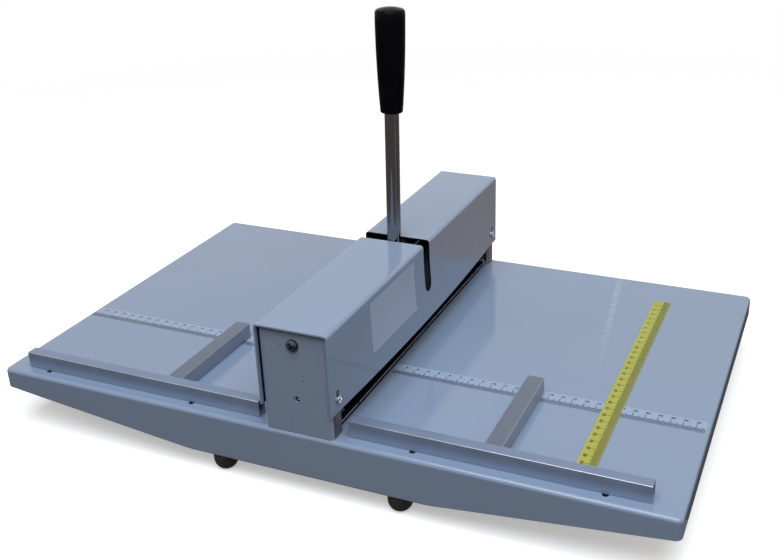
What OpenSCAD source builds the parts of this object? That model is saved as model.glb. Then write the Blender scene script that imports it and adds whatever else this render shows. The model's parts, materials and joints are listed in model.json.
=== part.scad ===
// Desktop paper creasing machine: a folded steel table on four rubber feet, and a press head
// across its middle. A hand lever turns a shaft with two cams, and the cams push a beam with
// a creasing blade down into a grooved strip. Two springs lift the beam again.
// X runs along the paper path, Y along the crease, Z up. Z = 0 is the surface it stands on.

/* [Table] */
// Length of the table, along the paper path
table_l = 595; // [540:1:660]
// Width of the table, along the crease
table_w = 376; // [350:1:420]
// Thickness of the table's folded sheet
table_t = 2; // [1.5:0.1:2.5]
// Depth of the long skirts at the middle
skirt_h = 39.5; // [37:0.5:46]
// Depth of the skirts and flanges at the two ends
end_h = 17.5; // [12:0.5:24]
// Length of the deep, level part of each skirt
level_l = 196; // [180:1:230]
// Inside radius of the folds along the top edges
fold_r = 1.5; // [0.5:0.1:3]
// Inside radius of the corners, seen from above
corner_r = 3; // [1:0.5:8]
// Width of the lip turned in below the level part of each skirt
lip_w = 24; // [22:0.5:30]

/* [Feet] */
// Diameter of a rubber foot
foot_d = 20.6; // [16:0.2:22]
// Height of a foot below the lip
foot_h = 17.5; // [14:0.5:24]
// Diameter of the flat that a foot stands on
foot_flat_d = 9; // [5:0.5:12]
// Distance from the end of the skirts' level part in to the middle of a foot
foot_inset = 18; // [14:1:30]
// Diameter of the stud moulded into a foot
stud_d = 5; // [4:0.5:6]

/* [Head frame] */
// Width of the two end cheeks
cheek_w = 60; // [56:0.5:66]
// Thickness of the cheeks' sheet
cheek_t = 2.5; // [2:0.1:3]
// Inside radius of the cheeks' bends
cheek_bend_r = 1; // [0.5:0.1:2]
// Depth of the cheeks' flanges, from the outer face inwards
cheek_flange = 14.5; // [14:0.1:17]
// Height of a cheek above the middle of the shaft
cheek_over_shaft = 10.2; // [9:0.1:12]
// Distance from the table's front face back to the cheek's outer face
cheek_setback = 1.7; // [1:0.1:4]
// Diameter of the oiling hole in each cheek
oil_hole_d = 5.4; // [4:0.1:6]
// Height of the oiling hole above the table
oil_hole_z = 31; // [26:0.5:36]
// Depth of the steel channel below the table
channel_h = 30; // [24:0.5:32]
// Wall of that channel
channel_t = 3; // [2.5:0.1:4]
// Diameter of the frame bolts and of the guide posts' threads
bolt_d = 6; // [5:0.5:6]
// Distance from the middle to a frame bolt
bolt_x = 20; // [17:0.5:21]

/* [Bed] */
// Width of the black bed plate
bed_w = 51; // [46:0.5:56]
// Thickness of the bed plate
bed_t = 3; // [2.5:0.1:4]
// Width of the grooved strip let into the bed
matrix_w = 14; // [12:0.5:18]
// Height of the grooved strip above the bed
matrix_proud = 0.8; // [0.4:0.1:1.2]
// Width of the crease groove
groove_w = 1.6; // [1.6:0.1:2.2]
// Depth of the crease groove
groove_h = 1; // [0.9:0.1:1.5]
// Diameter of the bed's and the strip's screws
bed_screw_d = 4; // [3:0.5:4]

/* [Blade and beam] */
// Gap between the blade and the strip when the handle is up
blade_lift = 7.7; // [7:0.1:9]
// How far the blade enters the groove when the handle is down
blade_bite = 0.5; // [0.2:0.1:0.6]
// Thickness of the blade
blade_t = 1; // [0.8:0.1:1]
// How far the blade stands out below the jaw
blade_out = 6.5; // [5:0.5:8]
// Distance from a cheek's turned-in tab to the end of the blade
blade_inset = 4.8; // [4.5:0.1:20]
// Height of the beam's jaw, which the blade is clamped to
jaw_h = 18; // [16:0.5:22]
// Height of the beam above its jaw
beam_h = 26; // [24:0.5:30]
// Thickness of the beam
beam_w = 18; // [16:0.5:20]
// Thickness of the clamp bar
clamp_t = 6; // [5:0.5:7]
// Number of clamp screws
clamp_screws = 6; // [4:1:8]
// Diameter of the clamp screws
clamp_screw_d = 4; // [3:0.5:4]

/* [Posts and springs] */
// Diameter of the guide posts
post_d = 8; // [7:0.1:8]
// Diameter of the collar at the foot of a post
post_collar_d = 11.4; // [10.6:0.1:11.6]
// Wire of the return springs
spring_wire = 1.2; // [0.9:0.1:1.3]
// Working turns of a return spring
spring_turns = 7; // [5:1:9]

/* [Shaft and cams] */
// Diameter of the main shaft
shaft_d = 16; // [14:0.5:17]
// Diameter of the journals at the shaft's ends
journal_d = 8; // [7:0.1:8]
// Radius of the cams' base circle
cam_base_r = 12; // [11:0.1:12.4]
// Width of a cam
cam_w = 14; // [11:0.5:16]
// Distance from the middle of the head to a cam
cam_y = 110; // [90:1:125]
// Angle that the handle swings through
swing = 100; // [90:1:100]
// Height of the hardened pads above the beam
pad_proud = 4; // [3:0.5:6]

/* [Handle] */
// Diameter of the handle rod
rod_d = 12.6; // [9.5:0.1:12.8]
// Diameter of the boss that the rod is screwed into
boss_d = 24; // [21:0.5:24.5]
// Width of that boss along the shaft
boss_w = 26; // [22:1:34]
// Length of the grip
grip_l = 88; // [80:1:110]
// Diameter of the grip at its top
grip_top_d = 25.4; // [24:0.2:30]
// Diameter of the grip at its lower end
grip_low_d = 19.4; // [18:0.2:22]
// Distance from the shaft to the top of the grip
handle_reach = 219; // [200:1:230]
// Lean of the handle to the right when it is up, in degrees
rod_lean = 1; // [0:0.1:2]
// Distance of the handle behind the middle of the shaft
handle_y = 1; // [-2:0.5:3]

/* [Cover] */
// Thickness of the cover's sheet
cover_t = 1.5; // [1:0.1:1.5]
// Inside radius of the cover's folds
cover_fold_r = 1.5; // [0.5:0.1:3]
// How far the cover stands out past the cheeks' outer faces
cover_overhang = 3.2; // [2:0.1:5]
// Air between the cheeks and the underside of the cover
cover_air = 2.5; // [2.2:0.1:5]
// Height of the cover's lower edges above the table
cover_edge_z = 22; // [18:0.5:26]
// How far the cover's sides spring outwards at the middle of their lower edge
cover_spring = 4.2; // [1:0.1:6]
// Width of the slot for the handle
slot_w = 13.6; // [13.6:0.1:15]
// Height of the slot's lower end above the cover's lower edge
slot_rise = 24; // [15:0.5:26]
// Diameter of the cover's screws
cover_screw_d = 4; // [3:0.5:4]
// Height of the cover's screws above its lower edge
cover_screw_rise = 11; // [9:0.5:14]
// Length that the cover's screw slots run up past the screws
cover_slot_run = 6; // [3:0.5:8]

/* [Fences and stops] */
// Length of each fence bar
fence_l = 235; // [215:1:240]
// Thickness of a fence bar, seen from above
fence_w = 10; // [9.5:0.5:12]
// Height of a fence bar
fence_h = 14.5; // [11:0.5:16]
// Wall of the hollow fence bars
fence_wall = 1.5; // [1:0.1:2]
// Distance from the table's front face to a fence's front face
fence_setback = 11; // [10:0.5:13]
// Distance from the crease to the inner end of the left fence
left_fence_in = 42; // [38:0.5:46]
// Distance from the crease to the inner end of the right fence
right_fence_in = 38.5; // [36:0.5:44]
// Distance from the left fence's inner end to its first screw
left_screw_in = 65; // [55:0.5:70]
// Distance from the right fence's inner end to its first screw
right_screw_in = 54; // [45:0.5:60]
// Distance between a fence's two screws
fence_screw_pitch = 148.5; // [130:0.5:155]
// Diameter of the fence screws
fence_screw_d = 4; // [3:0.5:4]
// Width of the slots in the table that let the fences be squared up
fence_slot_w = 5.2; // [4.6:0.1:6]
// Length of those slots
fence_slot_l = 13; // [12:0.5:14]
// How far those slots show in front of the fences
fence_slot_out = 3.2; // [2.5:0.1:3.5]
// Length of a sliding stop
stop_l = 107.5; // [90:0.5:115]
// Thickness of a sliding stop
stop_w = 14; // [12:0.5:15]
// Height of a sliding stop
stop_h = 13.5; // [11:0.5:16]
// Distance from the crease to the near face of the left stop
left_stop_at = 122; // [100:0.5:160]
// Distance from the crease to the near face of the right stop
right_stop_at = 146.5; // [100:0.5:160]
// Diameter of the magnets let into a stop
magnet_d = 9; // [7:0.5:9.5]
// Height of those magnets
magnet_h = 4; // [3:0.5:5]

/* [Scales] */
// Width of the white scales
scale_w = 17; // [14:0.5:20]
// Thickness of the white scales
scale_t = 0.2; // [0.1:0.05:0.25]
// Distance from the middle of the table forward to the white scales' rear edge
scale_y = 57.3; // [45:0.5:80]
// Width of the yellow cross scale
cross_w = 15.3; // [13:0.1:18]
// Thickness of the yellow cross scale
cross_t = 1; // [0.8:0.1:1.5]
// Distance from the table's rear face to the yellow cross scale's rear end
cross_rear = 45; // [40:0.5:70]
// Distance from the table's right end to the yellow cross scale's right edge
cross_edge = 70.5; // [58:0.5:75]

/* [Hidden] */
$fn = 72;

// Shared clearances and overruns
over = 1;
slide_gap = 0.3;
run_gap = 0.05;
bolt_gap = 0.25;
line_gap = 0.5;
skim_gap = 0.1;

// Heights, from the surface that the machine stands on
table_z = foot_h + skirt_h;
matrix_z = table_z + bed_t + matrix_proud;
blade_z = matrix_z + blade_lift;
jaw_z = blade_z + blade_out;
shoulder_z = jaw_z + jaw_h;
beam_z = shoulder_z + beam_h;
pad_z = beam_z + pad_proud;
shaft_z = pad_z + slide_gap + cam_base_r;
cheek_h = shaft_z + cheek_over_shaft - table_z;
cover_under_z = table_z + cheek_h + cover_air;
cover_z = cover_under_z + cover_t;
cover_low_z = table_z + cover_edge_z;
cover_w = cheek_w + 2 * cover_t;

// Places along the crease
cheek_y = table_w / 2 - cheek_setback;
cheek_in_y = cheek_y - cheek_t;
tab_y = cheek_y - cheek_flange;
post_y = (cheek_in_y + tab_y) / 2;
cover_y = cheek_y + cover_overhang;
beam_end_y = cheek_in_y - line_gap;
bed_y = tab_y - slide_gap;
blade_l = 2 * (tab_y - blade_inset);
strip_y = blade_l / 2 + over;
channel_y = table_w / 2 - table_t - fold_r - line_gap;

// Table and feet
table_corner_r = corner_r + table_t;
table_fold_r = fold_r + table_t;
foot_y = table_w / 2 - table_t - line_gap - foot_d / 2;
foot_x = level_l / 2 - foot_inset;
foot_ball_r = foot_d / 2;
foot_ball_z = sqrt(pow(foot_ball_r, 2) - pow(foot_flat_d / 2, 2));
stud_grip = foot_h * 0.45;
nut_share = 1.85;
nut_h_share = 0.8;
head_share = 1.75;
head_h_share = 0.65;
tip_share = 0.4;

// Lift of the cams for each degree that the handle turns, and the same for each radian
cam_lift = blade_lift + blade_bite;
cam_per_degree = cam_lift / swing;
cam_per_radian = cam_per_degree * 180 / PI;
cam_step = 4;
rod_seat = boss_d / 2 - over;
rod_end = handle_reach - grip_l * 0.35;
grip_edge_r = grip_top_d * 0.12;
grip_dome = grip_top_d * 0.06;
grip_steps = 8;
rod_tail_d = shaft_d * 0.5;
grub_d = shaft_d * 0.3;
bush_d = journal_d + cheek_t;
bush_flange_d = journal_d * 2;
bush_flange_t = cheek_t * 0.48;
shaft_end_y = cheek_in_y - bush_flange_t - slide_gap;
journal_y = cheek_y + slide_gap;
end_screw_d = journal_d * 0.62;
end_head_d = journal_d * 1.19;
end_head_h = end_head_d * 0.34;

// Fences, stops and scales
fence_y = table_w / 2 - fence_setback - fence_w / 2;
fence_slot_y = fence_y + fence_w / 2 + fence_slot_out - fence_slot_w / 2;
fence_slot_run = fence_slot_l - fence_slot_w;
stop_y = fence_y - fence_w / 2 - slide_gap - stop_l / 2;
stop_z = table_z + scale_t + skim_gap;
magnet_inset = stop_l * 0.14;
scale_in = bed_w / 2 + over + line_gap;
scale_out = table_l / 2 - table_fold_r;
cross_x = table_l / 2 - cross_edge - cross_w;
cross_front_y = fence_y - fence_w / 2 - line_gap;
cross_l = cross_front_y + table_w / 2 - cross_rear;
cross_z = table_z + scale_t;

// Colours as the photograph shows them
paint = [0.56, 0.63, 0.73];
paint_dark = [0.37, 0.41, 0.47];
black_steel = [0.07, 0.07, 0.08];
bright_steel = [0.72, 0.73, 0.75];
chrome_steel = [0.62, 0.63, 0.66];
aluminium = [0.60, 0.62, 0.67];
rubber = [0.05, 0.05, 0.05];
bronze = [0.66, 0.49, 0.27];
vinyl = [0.82, 0.87, 0.96];
yellow_tape = [0.80, 0.77, 0.28];

// A flat outline as wide as w, from 0 down to -d, with its two top corners rounded to r. The
// depth d is at least twice the radius r.
module fold_profile(w, d, r) {
    translate([-w / 2, -d]) square([w, d - r]);
    translate([-w / 2 + r, -d]) square([w - 2 * r, d]);
    for (s = [-1, 1]) translate([s * (w / 2 - r), -r]) circle(r);
}

// A slab below Z = 0 with rounded corners seen from above and a rounded top edge
module folded_slab(l, w, d, plan_r, edge_r) {
    rotate([90, 0, 0])
        linear_extrude(w - 2 * plan_r, center = true)
            fold_profile(l, d, edge_r);
    rotate([90, 0, 90])
        linear_extrude(l - 2 * plan_r, center = true)
            fold_profile(w, d, edge_r);
    for (sx = [-1, 1], sy = [-1, 1])
        translate([sx * (l / 2 - plan_r), sy * (w / 2 - plan_r), 0])
            rotate_extrude()
                intersection() {
                    fold_profile(2 * plan_r, d, edge_r);
                    translate([0, -d]) square([plan_r, d]);
                }
}

// The wedge that is cut away below a skirt's slope, on the side given by s
module skirt_wedge(s) {
    rotate([90, 0, 0])
        linear_extrude(table_w + 2 * over, center = true)
            polygon([
                [s * level_l / 2, -skirt_h],
                [s * table_l / 2, -end_h],
                [s * (table_l / 2 + over), -end_h],
                [s * (table_l / 2 + over), -skirt_h - over],
                [s * level_l / 2, -skirt_h - over]
            ]);
}

// The sharp edge that is rounded off below the level part of a skirt, on the side given by s
module lip_bend_cutter(s) {
    bend_r = table_t;
    rotate([90, 0, 90])
        linear_extrude(table_l, center = true)
            difference() {
                translate([s * (table_w / 2 - bend_r / 2 + over / 2), -skirt_h + bend_r / 2 - over / 2])
                    square([bend_r + over, bend_r + over], center = true);
                translate([s * (table_w / 2 - bend_r), -skirt_h + bend_r])
                    circle(bend_r);
            }
}

// Holes at the four corners of a rectangle
module four_holes(x, y, d, depth) {
    for (sx = [-1, 1], sy = [-1, 1])
        translate([sx * x, sy * y, 0]) cylinder(h = depth, d = d, center = true);
}

// Places of the frame's bolts and posts, of the bed's screws and of the strip's screws
bed_screw_x = (bed_w + matrix_w) / 4;
bed_screw_y_shares = [-0.86, 0, 0.86];
matrix_screw_y_shares = [-0.7, 0, 0.7];

// Holes through the table top and the channel for all that is bolted down
module frame_holes(depth, gap) {
    four_holes(bolt_x, post_y, bolt_d + 2 * gap, depth);
    for (s = [-1, 1])
        translate([0, s * post_y, 0]) cylinder(h = depth, d = bolt_d + 2 * gap, center = true);
    for (sx = [-1, 1], share = bed_screw_y_shares)
        translate([sx * bed_screw_x, share * bed_y, 0])
            cylinder(h = depth, d = bed_screw_d + 2 * gap, center = true);
    for (share = matrix_screw_y_shares)
        translate([0, share * bed_y, 0])
            cylinder(h = depth, d = bed_screw_d + 2 * gap, center = true);
}

// Places of the four fence screws along the table
fence_screw_x = [
    -left_fence_in - left_screw_in - fence_screw_pitch, -left_fence_in - left_screw_in,
    right_fence_in + right_screw_in, right_fence_in + right_screw_in + fence_screw_pitch
];

module table_tray() {
    color(paint)
        translate([0, 0, table_z])
            difference() {
                union() {
                    difference() {
                        folded_slab(table_l, table_w, skirt_h, table_corner_r, table_fold_r);
                        translate([0, 0, -table_t])
                            folded_slab(table_l - 2 * table_t, table_w - 2 * table_t, skirt_h, corner_r, fold_r);
                        skirt_wedge(-1);
                        skirt_wedge(1);
                    }
                    for (s = [-1, 1])
                        translate([0, s * (table_w / 2 - lip_w / 2), -skirt_h + table_t / 2])
                            cube([level_l, lip_w, table_t], center = true);
                }
                for (s = [-1, 1]) lip_bend_cutter(s);
                frame_holes(skirt_h, bolt_gap);
                for (x = fence_screw_x)
                    translate([x, -fence_slot_y, 0]) {
                        for (y = [0, fence_slot_run])
                            translate([0, y, 0])
                                cylinder(h = skirt_h, d = fence_slot_w, center = true);
                        translate([0, fence_slot_run / 2, 0])
                            cube([fence_slot_w, fence_slot_run, skirt_h], center = true);
                    }
                translate([0, 0, -skirt_h])
                    four_holes(foot_x, foot_y, stud_d + 2 * bolt_gap, skirt_h / 2);
            }
}

module press_channel() {
    color(paint_dark)
        translate([0, 0, table_z - table_t])
            difference() {
                rotate([90, 0, 0])
                    linear_extrude(2 * channel_y, center = true)
                        difference() {
                            fold_profile(cheek_w, channel_h, channel_t + fold_r);
                            translate([0, -channel_t])
                                fold_profile(cheek_w - 2 * channel_t, channel_h, fold_r);
                        }
                frame_holes(channel_t * 3, 0);
            }
}

// A domed rubber foot with a flat to stand on and a blind hole for its stud
module foot(sx, sy) {
    color(rubber)
        translate([sx * foot_x, sy * foot_y, 0])
            difference() {
                rotate_extrude()
                    intersection() {
                        square([foot_ball_r, foot_h]);
                        union() {
                            translate([0, foot_ball_z]) circle(foot_ball_r);
                            translate([0, foot_ball_z]) square([foot_ball_r, foot_h]);
                        }
                    }
                translate([0, 0, foot_h - stud_grip]) cylinder(h = foot_h, d = stud_d);
            }
}

module foot_front_left() foot(-1, -1);
module foot_front_right() foot(1, -1);
module foot_rear_left() foot(-1, 1);
module foot_rear_right() foot(1, 1);

module foot_studs() {
    stud_l = stud_grip + table_t + stud_d * (nut_h_share + tip_share);
    color(bright_steel)
        for (sx = [-1, 1], sy = [-1, 1])
            translate([sx * foot_x, sy * foot_y, foot_h - stud_grip])
                cylinder(h = stud_l, d = stud_d);
}

// A hexagon nut for a thread of diameter d, standing on Z = 0
module nut(d) {
    difference() {
        rotate([0, 0, 30]) cylinder(h = d * nut_h_share, d = d * nut_share, $fn = 6);
        translate([0, 0, -over]) cylinder(h = d * nut_h_share + 2 * over, d = d);
    }
}

module foot_nuts() {
    color(bright_steel)
        for (sx = [-1, 1], sy = [-1, 1])
            translate([sx * foot_x, sy * foot_y, foot_h + table_t])
                nut(stud_d);
}

// A round-headed screw along Z, its head's underside at Z = 0 and its shank below
module pan_screw(d, head_d, head_h, l) {
    crown_r = head_h * 0.6;
    translate([0, 0, -l]) cylinder(h = l, d = d);
    rotate_extrude() {
        square([head_d / 2, head_h - crown_r]);
        square([head_d / 2 - crown_r, head_h]);
        translate([head_d / 2 - crown_r, head_h - crown_r])
            intersection() {
                circle(crown_r);
                square([crown_r, crown_r]);
            }
    }
}

// A countersunk screw along Z, flush with Z = 0
module flush_screw(d, l, gap) {
    sink_d = d * head_share + 2 * gap;
    translate([0, 0, -l]) cylinder(h = l, d = d + 2 * gap);
    translate([0, 0, -(sink_d - d) / 2]) cylinder(h = (sink_d - d) / 2, d1 = d, d2 = sink_d);
}

module bed_plate() {
    color(black_steel)
        difference() {
            translate([-bed_w / 2, -bed_y, table_z]) cube([bed_w, 2 * bed_y, bed_t]);
            translate([0, 0, table_z + bed_t / 2])
                cube([matrix_w, 2 * (strip_y + run_gap), bed_t + 2 * over], center = true);
            for (sx = [-1, 1], share = bed_screw_y_shares)
                translate([sx * bed_screw_x, share * bed_y, table_z + bed_t])
                    flush_screw(bed_screw_d, bed_t + over, 0);
        }
}

module bed_screws() {
    color(bright_steel)
        for (sx = [-1, 1], share = bed_screw_y_shares)
            translate([sx * bed_screw_x, share * bed_y, table_z + bed_t])
                flush_screw(bed_screw_d, bed_t + table_t + channel_t, 0);
}

module matrix_strip() {
    strip_w = matrix_w - 2 * run_gap;
    strip_h = bed_t + matrix_proud;
    color(bright_steel)
        difference() {
            translate([-strip_w / 2, -strip_y, table_z]) cube([strip_w, 2 * strip_y, strip_h]);
            translate([-groove_w / 2, -strip_y - over, table_z + strip_h - groove_h])
                cube([groove_w, 2 * (strip_y + over), groove_h + over]);
            for (share = matrix_screw_y_shares)
                translate([0, share * bed_y, table_z])
                    cylinder(h = 2 * matrix_screw_in, d = bed_screw_d, center = true);
        }
}

matrix_screw_in = bed_t * 0.65;

module matrix_screws() {
    color(bright_steel)
        for (share = matrix_screw_y_shares)
            translate([0, share * bed_y, table_z - table_t - channel_t])
                rotate([180, 0, 0])
                    pan_screw(bed_screw_d, bed_screw_d * head_share, bed_screw_d * head_h_share,
                        table_t + channel_t + matrix_screw_in);
}

// A cheek: a channel bent from sheet, open towards the middle, with a tab turned in at its foot
module cheek() {
    inner_w = cheek_w - 2 * cheek_t;
    tab_w = inner_w - 2 * line_gap;
    color(paint)
        difference() {
            union() {
                translate([0, cheek_y, table_z])
                    linear_extrude(cheek_h)
                        difference() {
                            fold_profile(cheek_w, cheek_flange, cheek_bend_r + cheek_t);
                            translate([0, -cheek_t])
                                fold_profile(inner_w, cheek_flange, cheek_bend_r);
                        }
                translate([-tab_w / 2, tab_y, table_z])
                    cube([tab_w, cheek_in_y - tab_y + cheek_t / 2, cheek_t]);
            }
            translate([0, cheek_y, shaft_z])
                rotate([90, 0, 0]) cylinder(h = cheek_t * 4, d = bush_d, center = true);
            translate([0, cheek_y, table_z + oil_hole_z])
                rotate([90, 0, 0]) cylinder(h = cheek_t * 4, d = oil_hole_d, center = true);
            translate([0, post_y, cover_low_z + cover_screw_rise])
                rotate([0, 90, 0]) cylinder(h = cheek_w + 2 * over, d = cover_screw_d, center = true);
            for (x = [-bolt_x, 0, bolt_x])
                translate([x, post_y, table_z])
                    cylinder(h = cheek_t * 3, d = bolt_d + 2 * bolt_gap, center = true);
        }
}

module rear_cheek() cheek();
module front_cheek() mirror([0, 1, 0]) cheek();

module cheek_bolts() {
    bolt_l = cheek_t + table_t + channel_t + bolt_d * (nut_h_share + tip_share);
    color(bright_steel)
        for (sx = [-1, 1], sy = [-1, 1])
            translate([sx * bolt_x, sy * post_y, table_z + cheek_t])
                pan_screw(bolt_d, bolt_d * head_share, bolt_d * head_h_share, bolt_l);
}

post_collar_h = post_d * 0.25;
spring_low_z = table_z + cheek_t + post_collar_h;

// A guide post with a collar that seats its spring and a thread that goes through the frame
module post() {
    thread_l = cheek_t + table_t + channel_t + bolt_d * (nut_h_share + tip_share);
    post_over = pad_proud / 2;
    color(bright_steel)
        translate([0, post_y, table_z + cheek_t]) {
            translate([0, 0, -thread_l]) cylinder(h = thread_l, d = bolt_d);
            cylinder(h = post_collar_h, d = post_collar_d);
            cylinder(h = beam_z + post_over - table_z - cheek_t, d = post_d);
        }
}

module rear_post() post();
module front_post() mirror([0, 1, 0]) post();

module frame_nuts() {
    color(bright_steel)
        for (x = [-bolt_x, 0, bolt_x], sy = [-1, 1])
            translate([x, sy * post_y, table_z - table_t - channel_t])
                rotate([180, 0, 0]) nut(bolt_d);
}

// Centre line of a return spring, by the number of turns t from its lower end. It rises
// slowly in the first and last turn, which close the ends, and steadily between them.
spring_r = post_d / 2 + spring_wire / 2 + line_gap;
spring_rise = shoulder_z - spring_low_z - spring_wire;
spring_end_pitch = spring_wire * 1.5;
spring_pitch = (spring_rise - 2 * spring_end_pitch) / (spring_turns - 2);
spring_steps = 8;

function spring_z(t) =
    t < 1 ? spring_end_pitch * t
    : t < spring_turns - 1 ? spring_end_pitch + spring_pitch * (t - 1)
    : spring_rise - spring_end_pitch * (spring_turns - t);

function spring_point(t) =
    [spring_r * cos(360 * t), spring_r * sin(360 * t), spring_low_z + spring_wire / 2 + spring_z(t)];

spring_sides = 6;

function spring_ring(t) = [
    for (k = [0:spring_sides - 1])
        let (a = 360 * k / spring_sides, p = spring_point(t), out = spring_wire / 2 * cos(a))
            [p[0] + out * cos(360 * t), p[1] + out * sin(360 * t), p[2] + spring_wire / 2 * sin(a)]
];

module spring() {
    rings = spring_turns * spring_steps;
    n = spring_sides;
    points = [for (i = [0:rings]) each spring_ring(i / spring_steps)];
    gaps = [
        for (i = [0:rings - spring_steps])
            norm(spring_point((i + spring_steps) / spring_steps) - spring_point(i / spring_steps))
    ];
    echo(least_gap_between_turns = min(gaps) - spring_wire);
    walls = [
        for (i = [0:rings - 1], k = [0:n - 1])
            let (a = i * n + k, b = i * n + (k + 1) % n)
                each [[a, b, b + n], [a, b + n, a + n]]
    ];
    low_end = [for (k = [1:n - 2]) [0, k + 1, k]];
    high_end = [for (k = [1:n - 2]) [rings * n, rings * n + k, rings * n + k + 1]];
    color(bright_steel)
        translate([0, post_y, 0])
            polyhedron(points = points, faces = concat(walls, low_end, high_end));
}

module rear_return_spring() spring();
module front_return_spring() mirror([0, 1, 0]) spring();

// A flanged bush pressed into a cheek from the inside
module bush() {
    color(bronze)
        rotate([-90, 0, 0])
            difference() {
                union() {
                    translate([0, -shaft_z, cheek_in_y]) cylinder(h = cheek_t, d = bush_d);
                    translate([0, -shaft_z, cheek_in_y - bush_flange_t])
                        cylinder(h = bush_flange_t, d = bush_flange_d);
                }
                translate([0, -shaft_z, cheek_in_y])
                    cylinder(h = cheek_t * 4, d = journal_d + 2 * run_gap, center = true);
            }
}

module rear_bush() bush();
module front_bush() mirror([0, 1, 0]) bush();

// How far the cover's side is sprung out at the place y along it and the share s of its height
// below the fold. It is held along its top, and flat against the cheeks' flanges at its ends.
function cover_bow(y, s) = cover_spring * max(0, 1 - pow(y / tab_y, 2)) * pow(s, 2);

cover_wall_z = cover_z - 2 * (cover_fold_r + cover_t);
cover_column_count = 22;
cover_row_count = 6;

// Place along the crease of the side's column i: the outermost strips are the flat ends
function cover_column_y(i) =
    i == 0 ? -cover_y
    : i == cover_column_count ? cover_y
    : tab_y * (2 * (i - 1) / (cover_column_count - 2) - 1);

function cover_wall_point(i, j, inset) =
    let (
        s = j / cover_row_count,
        y = cover_column_y(i),
        z = cover_wall_z + (cover_low_z - cover_wall_z) * s
    )
        [cover_w / 2 - inset + cover_bow(y, s), y, z];

// One side of the cover below its fold, sprung outwards
module cover_wall() {
    c = cover_column_count;
    r = cover_row_count;
    row = r + 1;
    back = (c + 1) * row;
    points = concat(
        [for (i = [0:c], j = [0:r]) cover_wall_point(i, j, 0)],
        [for (i = [0:c], j = [0:r]) cover_wall_point(i, j, cover_t)]
    );
    outside = [
        for (i = [0:c - 1], j = [0:r - 1])
            let (a = i * row + j)
                each [[a, a + row + 1, a + 1], [a, a + row, a + row + 1]]
    ];
    inside = [for (f = outside) [f[0] + back, f[2] + back, f[1] + back]];
    top_edge = [
        for (i = [0:c - 1])
            let (a = i * row)
                each [[a, a + row + back, a + row], [a, a + back, a + row + back]]
    ];
    low_edge = [for (f = top_edge) [f[0] + r, f[2] + r, f[1] + r]];
    front_edge = [
        for (j = [0:r - 1])
            each [[j, j + 1 + back, j + back], [j, j + 1, j + 1 + back]]
    ];
    rear_edge = [for (f = front_edge) [f[0] + c * row, f[2] + c * row, f[1] + c * row]];
    polyhedron(
        points = points,
        faces = concat(outside, inside, top_edge, low_edge, front_edge, rear_edge)
    );
}

module cover() {
    fold_h = cover_z - cover_wall_z;
    screw_z = cover_low_z + cover_screw_rise;
    slot_z = cover_low_z + slot_rise + slot_w / 2;
    reach = cover_w + 2 * (cover_spring + over);
    screw_slot_d = cover_screw_d + 2 * slide_gap;
    color(paint)
        difference() {
            union() {
                translate([0, 0, cover_z])
                    rotate([90, 0, 0])
                        linear_extrude(2 * cover_y, center = true)
                            difference() {
                                fold_profile(cover_w, fold_h, cover_fold_r + cover_t);
                                translate([0, -cover_t])
                                    fold_profile(cover_w - 2 * cover_t, fold_h, cover_fold_r);
                            }
                cover_wall();
                mirror([1, 0, 0]) cover_wall();
            }
            translate([-reach / 2, handle_y - slot_w / 2, slot_z])
                cube([reach, slot_w, cover_z - slot_z + over]);
            translate([0, handle_y, slot_z])
                rotate([0, 90, 0]) cylinder(h = reach, d = slot_w, center = true);
            for (sy = [-1, 1]) translate([0, sy * post_y, 0]) {
                for (z = [screw_z, screw_z + cover_slot_run])
                    translate([0, 0, z])
                        rotate([0, 90, 0]) cylinder(h = reach, d = screw_slot_d, center = true);
                translate([0, 0, screw_z + cover_slot_run / 2])
                    cube([reach, screw_slot_d, cover_slot_run], center = true);
            }
        }
}

module cover_screws() {
    seat_x = cover_w / 2;
    color(bright_steel)
        for (sx = [0, 1], sy = [-1, 1])
            mirror([sx, 0, 0])
                translate([seat_x, sy * post_y, cover_low_z + cover_screw_rise])
                    rotate([0, 90, 0])
                        pan_screw(cover_screw_d, cover_screw_d * head_share, cover_screw_d * head_h_share,
                            seat_x - cheek_w / 2 + cheek_t + over);
}

// Puts a shape that is upright on the shaft's axis into the handle's place and lean
module handle_turn() translate([0, handle_y, 0]) rotate([0, rod_lean, 0]) children();
module at_handle() translate([0, 0, shaft_z]) handle_turn() children();

module main_shaft() {
    color(bright_steel)
        translate([0, 0, shaft_z])
            difference() {
                rotate([90, 0, 0]) {
                    cylinder(h = 2 * shaft_end_y, d = shaft_d, center = true);
                    cylinder(h = 2 * journal_y, d = journal_d, center = true);
                }
                handle_turn() cylinder(h = shaft_d + 2 * over, d = rod_tail_d, center = true);
                for (s = [-1, 1])
                    translate([0, s * journal_y, 0])
                        rotate([90, 0, 0]) cylinder(h = 2 * end_screw_in, d = end_screw_d, center = true);
            }
}

end_screw_in = journal_d * 1.5;

module shaft_end_screws() {
    color(bright_steel)
        for (s = [0, 1])
            mirror([0, s, 0])
                translate([0, -journal_y, shaft_z])
                    rotate([90, 0, 0])
                        pan_screw(end_screw_d, end_head_d, end_head_h, end_screw_in);
}

boss_grub_y = boss_w * 0.32;

// The boss in the middle of the shaft, spot-faced on top for the handle rod
module handle_boss() {
    color(bright_steel)
        at_handle()
            difference() {
                rotate([90, 0, 0]) cylinder(h = boss_w, d = boss_d, center = true);
                rotate([90, 0, 0]) cylinder(h = boss_w + 2 * over, d = shaft_d, center = true);
                cylinder(h = boss_d, d = rod_tail_d);
                translate([0, 0, rod_seat]) cylinder(h = boss_d, d = rod_d + 2 * slide_gap);
                for (s = [-1, 1])
                    translate([0, s * boss_grub_y, 0])
                        rotate([0, -90, 0]) cylinder(h = boss_d, d = grub_d);
            }
}

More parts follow.
